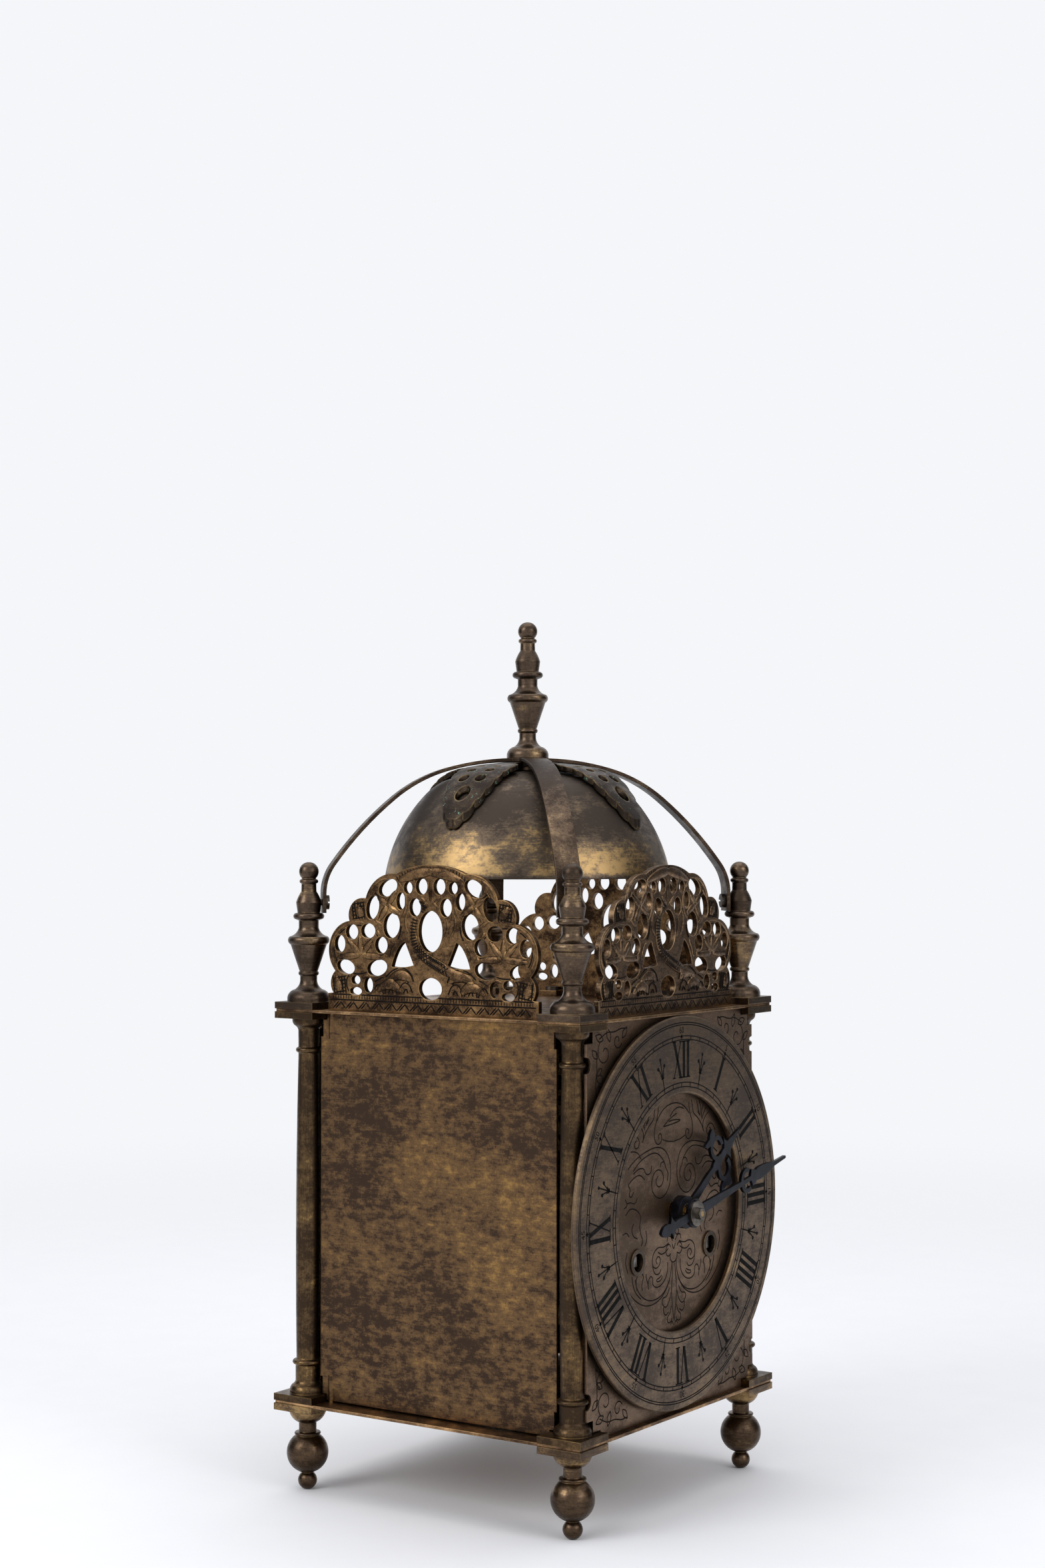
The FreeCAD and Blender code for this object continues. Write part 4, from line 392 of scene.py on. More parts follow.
class Bench:
    """Modelling moves that the makers below share."""

    @staticmethod
    def fresh() -> None:
        """Leaves nothing selected."""
        bpy.ops.object.select_all(action="DESELECT")

    @staticmethod
    @contextmanager
    def editing(piece: Piece) -> Iterator[None]:
        """Opens a piece in edit mode with all of it selected, and closes it again.

        Args:
            piece: the piece to work on.

        Yields:
            Nothing, while the piece is open.
        """
        Bench.fresh()
        piece.select_set(True)
        bpy.context.view_layer.objects.active = piece
        bpy.ops.object.mode_set(mode="EDIT")
        bpy.ops.mesh.select_all(action="SELECT")
        yield
        bpy.ops.object.mode_set(mode="OBJECT")

    @staticmethod
    def settled() -> Piece:
        """Puts the active piece's place into its mesh and returns it."""
        bpy.ops.object.transform_apply(location=True, rotation=True, scale=True)
        return bpy.context.active_object

    @staticmethod
    def disc(x: float, y: float, radius: float, corners: int = 12) -> Piece:
        """Draws a small flat disc, or a triangle with three corners.

        Args:
            x: its middle's x.
            y: its middle's y.
            radius: from its middle to a corner.
            corners: how many corners it has.

        Returns:
            The flat disc.
        """
        Bench.fresh()
        bpy.ops.mesh.primitive_circle_add(
            vertices=corners, radius=radius, location=(x, y, 0), fill_type="NGON"
        )
        return Bench.settled()

    @staticmethod
    def stroke(foot: float, head: float, wide: float, tall: float, y: float = 0.0) -> Piece:
        """Draws one upright or slanted stroke with level ends.

        Args:
            foot: x of its lower end's middle.
            head: x of its upper end's middle.
            wide: its width.
            tall: its height.
            y: height of its middle.

        Returns:
            The flat stroke.
        """
        Bench.fresh()
        bpy.ops.mesh.primitive_plane_add(size=1, location=(foot, y, 0))
        bpy.context.active_object.scale = (wide, tall, 1)
        piece = Bench.settled()
        if head != foot:
            with Bench.editing(piece):
                bpy.ops.mesh.select_all(action="DESELECT")
                bpy.ops.object.mode_set(mode="OBJECT")
                for vertex in piece.data.vertices:
                    vertex.select = vertex.co.y > y
                bpy.ops.object.mode_set(mode="EDIT")
                bpy.ops.transform.translate(value=(head - foot, 0, 0))
        return piece

    @staticmethod
    def band(radius: float, wide: float, sides: int = 180) -> Piece:
        """Draws a flat ring round the origin.

        Args:
            radius: the ring's middle line.
            wide: its width.
            sides: how many sides it has.

        Returns:
            The flat ring.
        """
        Bench.fresh()
        inner = radius - wide / 2
        grown = (radius + wide / 2) / inner
        bpy.ops.mesh.primitive_circle_add(vertices=sides, radius=inner)
        piece = bpy.context.active_object
        with Bench.editing(piece):
            bpy.ops.mesh.extrude_edges_move()
            bpy.ops.transform.resize(value=(grown, grown, 1))
        return piece

    @staticmethod
    def copy(piece: Piece, place: Matrix) -> Piece:
        """Copies a piece with a mesh of its own and lays the copy.

        Args:
            piece: the piece modelled once.
            place: where the copy goes, from the piece's own place.

        Returns:
            The copy.
        """
        twin = piece.copy()
        twin.data = piece.data.copy()
        bpy.context.scene.collection.objects.link(twin)
        twin.data.transform(place)
        return twin

    @staticmethod
    def named(piece: Piece, name: str) -> Piece:
        """Names a piece and its mesh.

        Args:
            piece: the piece.
            name: its name.

        Returns:
            The same piece.
        """
        piece.name = name
        piece.data.name = name
        return piece

    @staticmethod
    def joined(name: str, pieces: Sequence[Piece]) -> Piece:
        """Joins flat pieces into one.

        Args:
            name: the joined piece's name.
            pieces: what to join.

        Returns:
            The joined piece.
        """
        Bench.fresh()
        for piece in pieces:
            piece.select_set(True)
        bpy.context.view_layer.objects.active = pieces[0]
        bpy.ops.object.join()
        return Bench.named(bpy.context.active_object, name)

    @staticmethod
    def drop(pieces: Sequence[Piece]) -> None:
        """Clears away patterns that were only copied from."""
        for piece in pieces:
            bpy.data.objects.remove(piece)

    @staticmethod
    def thick(piece: Piece, low: float, high: float) -> Piece:
        """Gives a flat piece a body.

        Args:
            piece: the flat piece, at z = 0.
            low: z of its back.
            high: z of its front.

        Returns:
            The same piece, closed and facing outward.
        """
        piece.data.transform(Matrix.Translation((0, 0, low)))
        with Bench.editing(piece):
            bpy.ops.mesh.extrude_region_move(TRANSFORM_OT_translate={"value": (0, 0, high - low)})
            bpy.ops.mesh.select_all(action="SELECT")
            bpy.ops.mesh.normals_make_consistent(inside=False)
        return piece

    @staticmethod
    def lines(
        name: str, paths: Sequence[Path], wide: float, steep: float = 0.25, swell: bool = False
    ) -> Piece:
        """Draws lines as closed ridges.

        Args:
            name: the piece's name.
            paths: the lines, each a list of points.
            wide: a line's width.
            steep: a line's height as a share of half its width.
            swell: whether a line is widest in its middle, as a petal is.

        Returns:
            One mesh with all the lines, at z = 0.
        """
        petal_end, line_end, fullness = 0.22, 0.45, 0.8
        Bench.fresh()
        bpy.ops.curve.primitive_nurbs_path_add()
        data = bpy.context.active_object.data
        data.splines.clear()
        data.dimensions = "3D"
        data.bevel_depth = wide / 2
        data.bevel_resolution = 2 if swell else 0
        data.use_fill_caps = True
        data.resolution_u = 3
        for path in paths:
            spline = data.splines.new("NURBS")
            last = len(path) - 1
            spline.points.add(last)
            for index, (x, y) in enumerate(path):
                point = spline.points[index]
                point.co = (x, y, 0, 1)
                if swell:
                    full = math.sin(math.pi * (index / last) ** fullness) ** fullness
                    point.radius = petal_end + (1 - petal_end) * full
                else:
                    point.radius = line_end if index in (0, last) else 1.0
            spline.order_u = 3
            spline.use_endpoint_u = True
        bpy.ops.object.convert(target="MESH")
        piece = Bench.named(bpy.context.active_object, name)
        piece.data.transform(Matrix.Diagonal((1, 1, steep, 1)))
        with Bench.editing(piece):
            bpy.ops.mesh.normals_make_consistent(inside=False)
        return piece

    @staticmethod
    def raised(piece: Piece, height: float) -> Piece:
        """Lifts a flat piece along its own z and returns it."""
        piece.data.transform(Matrix.Translation((0, 0, height)))
        return piece

    @staticmethod
    def dress(piece: Piece, place: Matrix, finish: Metal) -> None:
        """Lays a finished piece on the clock's fixed parts and gives it its material.

        Args:
            piece: the piece, drawn in its own flat frame.
            place: that frame's place in the clock.
            finish: its material.
        """
        piece.data.transform(place)
        piece.data.materials.clear()
        piece.data.materials.append(finish)
        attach(piece, FIXED_BODY)
        log.info("%s: %d faces on %s", piece.name, len(piece.data.polygons), FIXED_BODY)


def curl(x: float, y: float, radii: Span, angles: Span) -> Path:
    """Draws a scroll that winds in or out.

    Args:
        x: its eye's x.
        y: its eye's y.
        radii: radius at its first and at its last point.
        angles: angle of its first and of its last point, in degrees.

    Returns:
        Its points.
    """
    # Degrees from one point to the next.
    step = 24
    (start, end), (first, last) = radii, angles
    count = max(5, int(abs(last - first) / step))
    path = []
    for index in range(count + 1):
        share = index / count
        radius = start + (end - start) * share
        angle = math.radians(first + (last - first) * share)
        path.append((x + radius * math.cos(angle), y + radius * math.sin(angle)))
    return path


def leaf(x: float, y: float, long: float, wide: float, turn: float) -> List[Path]:
    """Draws the two edges of a pointed leaf.

    Args:
        x: the foot's x.
        y: the foot's y.
        long: length to the tip.
        wide: greatest width.
        turn: direction of the tip, in degrees.

    Returns:
        Its edges.
    """
    # Shares of the length, and how far out the edge is there as a share of the width.
    outline = ((0, 0), (0.18, 0.31), (0.42, 0.62), (0.7, 0.4464), (1, 0))
    cos, sin = math.cos(math.radians(turn)), math.sin(math.radians(turn))
    edges = []
    for side in (-1, 1):
        steps = [(long * share, side * wide * out) for share, out in outline]
        edges.append([(x + cos * up - sin * out, y + sin * up + cos * out) for up, out in steps])
    return edges


def both(paths: Sequence[Path]) -> List[Path]:
    """Returns the lines and their mirror images on the other side of x = 0."""
    return list(paths) + [[(-x, y) for x, y in path] for path in paths]


def evenly(path: Path, step: float = 0.8) -> Path:
    """Sets more points on a line.

    Args:
        path: the line.
        step: greatest distance from one point to the next.

    Returns:
        Its own points and those between them.
    """
    points = [path[0]]
    for (ax, ay), (bx, by) in zip(path, path[1:]):
        count = max(1, math.ceil(math.hypot(bx - ax, by - ay) / step))
        points += [(ax + (bx - ax) * i / count, ay + (by - ay) * i / count) for i in range(1, count + 1)]
    return points


def rounded(path: Path) -> Path:
    """Rounds a line's corners by cutting each of them twice.

    Args:
        path: the line.

    Returns:
        The rounded line, with the same ends.
    """
    for _ in range(2):
        cut = [path[0]]
        for (ax, ay), (bx, by) in zip(path, path[1:]):
            cut += [(ax * s + bx * (1 - s), ay * s + by * (1 - s)) for s in (0.75, 0.25)]
        path = cut + [path[-1]]
    return path


@dataclass
class Graver:
    """Keeps lines on the metal that carries them, so that none hangs over an opening.

    Attributes:
        node: the CAD node that carries them.
        place: the flat frame's place in the clock.
        margin: how much metal is left round each point.
    """

    node: Piece
    place: Matrix
    margin: float

    def solid(self, x: float, y: float) -> bool:
        """Tells whether the metal's face lies under a point and close round it.

        Args:
            x: the point's x in the flat frame.
            y: the point's y.

        Returns:
            True where it does.
        """
        # The test starts over the face and ends a little below it.
        above, depth = 1.0, 1.4
        into = -(self.place.to_3x3() @ Vector((0, 0, 1))).normalized()
        for dx, dy in ((0, 0), (1, 0), (-1, 0), (0, 1), (0, -1)):
            start = self.place @ Vector((x + dx * self.margin, y + dy * self.margin, above))
            if not self.node.ray_cast(start, into, distance=depth * MM)[0]:
                return False
        return True

    def kept(self, paths: Sequence[Path], round_off: bool = True, shortest: int = 3) -> List[Path]:
        """Cuts lines where they leave the metal.

        Args:
            paths: the lines as drawn.
            round_off: whether their corners are rounded first.
            shortest: fewest points that a kept stretch has.

        Returns:
            The stretches on metal.
        """
        stretches: List[Path] = []
        for path in paths:
            run: Path = []
            for x, y in evenly(rounded(path) if round_off and len(path) > 2 else path):
                if self.solid(x, y):
                    run.append((x, y))
                    continue
                if len(run) >= shortest:
                    stretches.append(run)
                run = []
            if len(run) >= shortest:
                stretches.append(run)
        return stretches


def dial_place(front: float) -> Matrix:
    """Returns the place of a flat frame on the hands' axis, at the given Y in metres."""
    low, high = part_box("chapter_ring")
    return Matrix.Translation((0, front, (low.z + high.z) / 2)) @ STANDING @ Matrix.Scale(MM, 4)


def clockwise(degrees: float) -> Matrix:
    """Returns a turn about the dial's middle."""
    return Matrix.Rotation(math.radians(-degrees), 4, "Z")


@dataclass
class ChapterEngraving:
    """Numbers, minute track and marks cut in the chapter ring and filled with wax.

    Attributes:
        front: Y of the ring's face, in metres.
        finish: the wax.
        numeral_low: radius of the numerals' feet.
        numeral_high: radius of their tops.
        heavy: width of a letter's heavy stroke.
        light: width of its light stroke.
        letter: room that a V or an X takes.
        narrow: room that an I takes, and length of a serif.
        serif: height of a serif.
        track: radii of the minute track.
        rims: radii of the lines at the ring's edge.
        quarters: radii of the quarter-hour track.
        line: width of the round lines.
        mark: width of a minute or quarter mark.
        arrow: size of the triangle at each five minutes.
        number_circle: radius that the minute numbers stand on.
        number_size: their size.
        depth: lowest and highest z of the filling.
        hours: the numerals from twelve o'clock on.
    """

    front: float
    finish: Metal
    numeral_low: float = 54.6
    numeral_high: float = 69.2
    heavy: float = 1.85
    light: float = 0.62
    letter: float = 6.9
    narrow: float = 3.3
    serif: float = 0.55
    track: Span = (69.9, 71.4)
    rims: Span = (76.0, 76.9)
    quarters: Span = (50.7, 52.5)
    line: float = 0.46
    mark: float = 0.44
    arrow: float = 1.1
    number_circle: float = 73.7
    number_size: float = 3.7
    depth: Span = (-0.02, 0.03)
    hours: Tuple[str, ...] = ("XII", "I", "II", "III", "IIII", "V", "VI", "VII", "VIII", "IX", "X", "XI")

    def letters(self) -> Dict[str, Piece]:
        """Draws the three letters once.

        Returns:
            Each letter's flat piece, with its middle at the origin.
        """
        tall = self.numeral_high - self.numeral_low
        half = (self.letter - self.heavy) / 2
        top, foot = tall / 2, -tall / 2
        # Each stroke's foot, head and width; then each serif's x, length as a share, and height.
        drawn = {
            "I": ([(0, 0, self.heavy)], [(0, 1.0, top), (0, 1.0, foot)]),
            "V": (
                [(0.2, -half, self.heavy), (0.5, half, self.light)],
                [(-half, 1.0, top), (half, 0.7, top)],
            ),
            "X": (
                [(half, -half, self.heavy), (-half, half, self.light)],
                [(-half, 0.9, top), (half, 0.7, top), (-half, 0.7, foot), (half, 0.9, foot)],
            ),
        }
        patterns = {}
        for sign, (strokes, serifs) in drawn.items():
            parts = [Bench.stroke(low, high, wide, tall) for low, high, wide in strokes]
            parts += [Bench.stroke(x, x, self.narrow * share, self.serif, y) for x, share, y in serifs]
            patterns[sign] = Bench.joined("letter_" + sign, parts)
        return patterns

    def numerals(self) -> List[Piece]:
        """Sets the twelve hour numbers round the ring, feet inward.

        Returns:
            Their flat letters.
        """
        patterns = self.letters()
        middle = (self.numeral_low + self.numeral_high) / 2
        laid = []
        for hour, word in enumerate(self.hours):
            widths = [self.narrow if sign == "I" else self.letter for sign in word]
            across = -sum(widths) / 2
            for sign, width in zip(word, widths):
                place = clockwise(HOUR_TURN * hour) @ Matrix.Translation((across + width / 2, middle, 0))
                laid.append(Bench.copy(patterns[sign], place))
                across += width
        Bench.drop(list(patterns.values()))
        return laid

    def round_marks(self, pattern: Piece, count: int, first: float = 0.0) -> List[Piece]:
        """Repeats a mark round the ring and clears its pattern away.

        Args:
            pattern: the mark, drawn at twelve o'clock.
            count: how many there are.
            first: angle of the first one, in degrees clockwise.

        Returns:
            The marks.
        """
        step = 360 / count
        laid = [Bench.copy(pattern, clockwise(first + step * index)) for index in range(count)]
        Bench.drop([pattern])
        return laid

    def half_hour(self) -> Piece:
        """Draws one half-hour flower: a stem, two leaves with buds and a pointed tip.

        Returns:
            The flat flower, at twelve o'clock.
        """
        stem, foot = Bench.stroke(0, 0, 0.6, 12.2, 58.6), Bench.stroke(0, 0, 2.2, 0.55, 57.2)
        parts = [stem, foot, Bench.disc(0, 65.0, 0.75)]
        for side in (1, -1):
            parts += [
                Bench.disc(side * 2.4, 61.8, 0.8),
                Bench.stroke(side * 0.1, side * 2.0, 0.62, 3.8, 59.7),
                Bench.stroke(side * 0.1, side * 1.3, 0.55, 2.2, 57.9),
            ]
        return Bench.joined("half_hour_flower", parts)

    def minute_numbers(self) -> List[Piece]:
        """Sets 5 to 60 outside the minute track, tops outward.

        Returns:
            The flat numbers.
        """
        laid = []
        for index in range(1, 13):
            Bench.fresh()
            bpy.ops.object.text_add()
            text = bpy.context.active_object.data
            text.body = str(5 * index)
            text.align_x = text.align_y = "CENTER"
            text.size = self.number_size
            text.resolution_u = 3
            bpy.ops.object.convert(target="MESH")
            number = bpy.context.active_object
            spot = Matrix.Translation((0, self.number_circle, 0))
            number.data.transform(clockwise(HOUR_TURN * index) @ spot)
            laid.append(number)
        return laid

    def build(self) -> None:
        """Cuts the whole ring as one piece."""
        pieces = self.numerals() + self.minute_numbers()
        pieces += [Bench.band(radius, self.line) for radius in (*self.track, *self.quarters, *self.rims)]
        for (low, high), count in ((self.track, 60), (self.quarters, 48)):
            pieces += self.round_marks(Bench.stroke(0, 0, self.mark, high - low, (low + high) / 2), count)
        overlap = 0.2
        pieces += self.round_marks(Bench.disc(0, self.track[1] - overlap, self.arrow, 3), 12)
        pieces += self.round_marks(self.half_hour(), 12, HOUR_TURN / 2)
        whole = Bench.thick(Bench.joined("chapter_engraving", pieces), *self.depth)
        Bench.dress(whole, dial_place(self.front), self.finish)


# Right half of the feathered plume under the hands.
PLUME: List[Path] = [
    [(0.6, -21), (1.6, -27), (2, -33), (1.2, -39), (0, -44.5)],
    [(2.4, -32.6), (3.4, -35.5), (6, -38.4), (8.4, -37.4), (8.2, -40.2), (6.4, -41.6), (4.2, -40.2)],
    [(3.6, -30.6), (5.8, -34), (9, -34), (9.4, -36.2), (7.8, -37.6)],
    [(2, -38), (3, -41), (5.6, -42.4), (5, -44.8), (2.6, -44.8), (1.4, -43)],
    [(0.4, -46.2), (1.6, -44), (2.8, -46)],
    [
        (1.6, -20), (2.3, -25), (5, -29.6), (9, -32.6), (14, -33.9), (20, -33.6), (25.5, -31),
        (29, -27.2), (30, -23.5),
    ],
    [
        (3.4, -27.5), (6.5, -31.5), (11.5, -34.6), (18, -35.8), (24.5, -34.8), (31, -31.5), (36.5, -26.5),
        (39.5, -21),
    ],
]
# Right half of the scrolls and leaves beside the plume.
LOWER_SCROLLS: List[Path] = [
    [
        (5, -20), (4.8, -23), (6.5, -26.5), (10, -28.8), (14, -29.2), (16.8, -27.5), (16.4, -25),
        (18, -23.8), (19.6, -24.8), (20.2, -27),
    ],
    [(19.8, -29), (20.3, -26.5), (21.5, -24.5), (21.8, -22.4)],
    [(9, -25.2), (10.5, -26.8), (13.4, -27), (13.6, -25.8), (11.5, -25.6), (9.6, -24.6)],
    [(10.2, -22.2), (11.5, -24), (14.7, -23.8), (16.4, -21.5), (16.6, -19.4)],
    [
        (4, -12.4), (8, -13.8), (12, -13), (15.5, -14.4), (17.2, -17.6), (16.4, -20.6), (13.4, -21.6),
        (10.8, -20), (10.7, -17.4), (12.8, -16.6), (14.4, -18.2), (13, -19.8),
    ],
    [(4.5, -14.6), (7, -16), (10, -16.4), (12.6, -15)],
    [
        (24.6, -28.8), (25.2, -26), (23.2, -23.2), (25.6, -21.4), (28.8, -22.4), (29.4, -25.5),
        (28.6, -28.4),
    ],
    [(32.5, -22), (31.6, -26), (29.4, -29.4), (25.6, -32)],
    [(36, -12), (37.6, -16), (35.4, -20.5)],
    [(2.5, -14.4), (3.6, -12.8), (6, -13.6), (6.6, -16.2), (4.8, -18), (2.4, -17)],
    [(1, -12), (2.6, -9.8), (5, -9.6), (5.4, -11.8)],
]
# Right half of the scrolls, spirals and leaves over the hands.
UPPER_SCROLLS: List[Path] = [
    [
        (12, 43.5), (12.8, 39), (15, 35), (15.4, 31), (13.2, 28.2), (10.4, 28.4), (9.2, 30.6),
        (10.2, 32.8), (12.2, 32), (11.6, 30.2),
    ],
    [(14, 44.5), (15.3, 41), (15.6, 38.6), (19.6, 36.2), (22.6, 33.2), (24.4, 30)],
    [(18.4, 43.6), (19.8, 39.6), (21.4, 36.6)],
    [(20.4, 43.4), (22.2, 39.8), (21.2, 36.8), (19.4, 39)],
    [(23.4, 41.4), (22.6, 38.4), (22.4, 35.8)],
    [(26, 40), (24, 37.6), (22.6, 35)],
    [(28.6, 38), (25.2, 36.2), (23.4, 33.8), (23.8, 31)],
    [
        (34, 29.6), (31.4, 33), (28.4, 33), (26.4, 30.8), (27.4, 28.4), (30, 28.2), (30.8, 30.4),
        (28.8, 31.4),
    ],
    [(33.6, 27.4), (30.2, 27.2), (27.4, 26.2), (25.6, 23.8)],
    [
        (35.5, 20.6), (31, 23.4), (25.5, 25.4), (19, 26.8), (14, 27.4), (9, 26.6), (5.2, 24.2), (3, 20.4),
        (2.2, 16), (3, 11.6), (5.6, 8.2), (9.6, 6.2), (13.6, 7), (16.8, 9.6), (17.6, 13.2), (16, 16.8),
        (12.6, 18.4), (9.2, 17.2), (7.8, 14.2), (9.4, 11.4), (12.6, 11), (14.4, 13.6), (12.4, 15.6),
    ],
    [(31.5, 19.4), (27, 22.6), (21, 24.6), (15, 25.4), (11, 24), (7.4, 20.8)],
    [(6.4, 18.2), (7.2, 20.8), (10, 21), (10.8, 18.8)],
    [(5.2, 12.8), (4.4, 16), (6.2, 18.2)],
    [
        (22.6, 15.2), (26, 17.6), (30, 17.2), (33.8, 15.4), (35.4, 14.2), (33.4, 12.6), (34.8, 10.2),
        (32.8, 9.2), (31, 11.2),
    ],
    [(17.4, 20.4), (17.6, 17.6), (20.4, 16.8), (22.6, 18), (23.2, 19.8), (27, 20.2), (31.4, 18.4)],
    [(36.4, 7.2), (33, 7.4), (30.2, 6.2), (28.2, 8.6)],
    [
        (37.2, 2.6), (34, 5), (30, 4.4), (27, 2.6), (25.4, 0.4), (26.8, -2.6), (25.8, -6), (24, -9),
        (25.4, -10.8),
    ],
    [(38.4, 5.4), (35.4, 6.4), (37.6, 9.2)],
    [(39.4, -4.8), (36.4, -4), (34.4, -6.2)],
    [(22, -5), (20.8, -8.4), (22.6, -11.4)],
    [(30.9, -1.2), (32.9, -3.6), (31.2, -6.6), (28.2, -7.6)],
    [(9, 30), (5, 28.8), (0, 28.4)],
]
# Heads and shells along the right half of a fret's foot, as broad low mounds.
MOUNDS: List[Path] = [
    [(9.4, 13.2), (12.6, 15.4), (17, 15.4), (21.4, 13)],
    [(15, 8.6), (18.6, 11.4), (23, 11.2), (27, 8.4)],
    [(46.4, 7.8), (47.6, 11), (48.6, 14)],
    [(34.6, 38.6), (36.6, 41.4), (38.8, 43.6)],
    [(-1, 57.6), (5.6, 56.8), (11.4, 55.2), (16.6, 53.4)],
]
# Chased lines of the right half's heads, shells and lobes.
CHASED: List[Path] = [
    [(8.4, 12.8), (10, 16.6), (14, 18.6), (18.6, 17.6), (22.6, 14.4)],
    [(11, 12.2), (12.6, 14.6), (15.2, 15.2)],
    [(16.2, 13.8), (17.4, 14.8), (18.8, 13.8), (17.4, 13), (16.2, 13.8)],
    [(9, 8.2), (10.4, 11.6), (13.2, 12.6), (15.4, 10.4), (15.8, 7.4)],
    [(11.2, 8), (12.2, 10.2), (13.6, 8)],
    [(16.6, 7.4), (18.6, 11.6), (21.2, 12), (22.8, 9.8), (23, 7.4)],
    [(18.8, 7.8), (20.2, 10.2), (21.2, 7.8)],
    [(23.6, 7.4), (25.2, 11), (27.2, 11.2), (28.4, 9)],
    [(24, 14.2), (26.2, 13.4), (28.2, 12.2)],
    [(40.8, 6.9), (42.8, 9.6), (43, 12.8), (41.4, 15)],
    [(16.4, 29.8), (15, 32.4), (14.8, 35.4)],
    [(17.8, 28.2), (19.8, 25), (20.4, 22.4)],
]


@dataclass
class DialEngraving:
    """Scrolling leaves and flowers cut in the dial's middle and in its four corners.

    Attributes:
        node: the dial plate.
        finish: the dirt in the cuts.
        line: width of a cut.
        corner: middle of the scroll in the upper right corner.
        reach: radius that the middle's work stays within.
        hub: radius round the hands' axis that stays plain.
    """

    node: Piece
    finish: Metal
    line: float = 0.54
    corner: Point = (52.5, 68.0)
    reach: float = 49.4
    hub: float = 6.5

    def middle(self) -> List[Path]:
        """Draws what stands on the middle line and leans a little.

        Returns:
            The flower's lowest petal and bud, and the long leaf at the top.
        """
        return [
            curl(-0.3, -17.8, (2.9, 2.9), (20, -200)),
            curl(2.4, -8.4, (1.3, 1.3), (0, 360)),
            [(-1.4, -13.0), (-0.2, -15.8), (1.2, -13.0)],
            [(-8.3, 35), (-3.0, 38.0), (2.5, 39.6)],
            [(-8.3, 35), (0, 35.6), (6.6, 36.6), (1.0, 37.2), (-4.0, 36.8)],
            [(-13.5, 37.5), (-9, 42), (-3, 43.9), (3, 44), (8.5, 42.2), (12.6, 38.6)],
            [(-3.0, 38.6), (0, 41.2), (4.4, 42.2), (8.0, 41)],
        ]

    def corners(self) -> List[Path]:
        """Draws the work in the plate's corners.

        Returns:
            The scrolls and leaves of all four.
        """
        x, y = self.corner
        quarter = [
            curl(x, y, (5.6, 1.0), (60, -330)),
            curl(x - 9.5, y + 4.2, (3.4, 0.8), (200, 560)),
            curl(x + 3.0, y - 9.5, (3.2, 0.8), (80, -280)),
            [(x - 16, y + 8.6), (x - 12, y + 9.0), (x - 7, y + 7.6), (x - 2, y + 8.2), (x + 4, y + 5.5)],
            [(x + 6.2, y - 18), (x + 6.8, y - 12), (x + 5.4, y - 6), (x + 6.2, y + 1)],
        ]
        for lx, ly, long, wide, turn in (
            (x + 1, y + 5, 6, 2.6, 20), (x - 4, y + 4, 6, 2.4, 70), (x + 5, y - 2, 5.5, 2.4, 40),
            (x + 4, y - 12, 6, 2.4, -70), (x - 13, y + 5, 5.5, 2.2, 130), (x + 2, y - 6, 5, 2.2, -30),
        ):
            quarter += leaf(lx, ly, long, wide, turn)
        upper = both(quarter)
        return upper + [[(px, -py) for px, py in path] for path in upper]

    def build(self) -> None:
        """Cuts the dial's middle and its corners, each as one piece."""
        place = dial_place(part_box("dial_plate")[0].y)
        graver = Graver(self.node, place, margin=0.4)
        inside = both(PLUME + LOWER_SCROLLS + UPPER_SCROLLS) + self.middle()
        kept = [
            path
            for path in graver.kept(inside)
            if all(self.hub < math.hypot(x, y) < self.reach for x, y in path)
        ]
        middle = Bench.lines("dial_middle_engraving", kept, self.line)
        corners = Bench.lines("dial_corner_engraving", graver.kept(self.corners()), self.line)
        for piece in (middle, corners):
            Bench.dress(piece, place, self.finish)


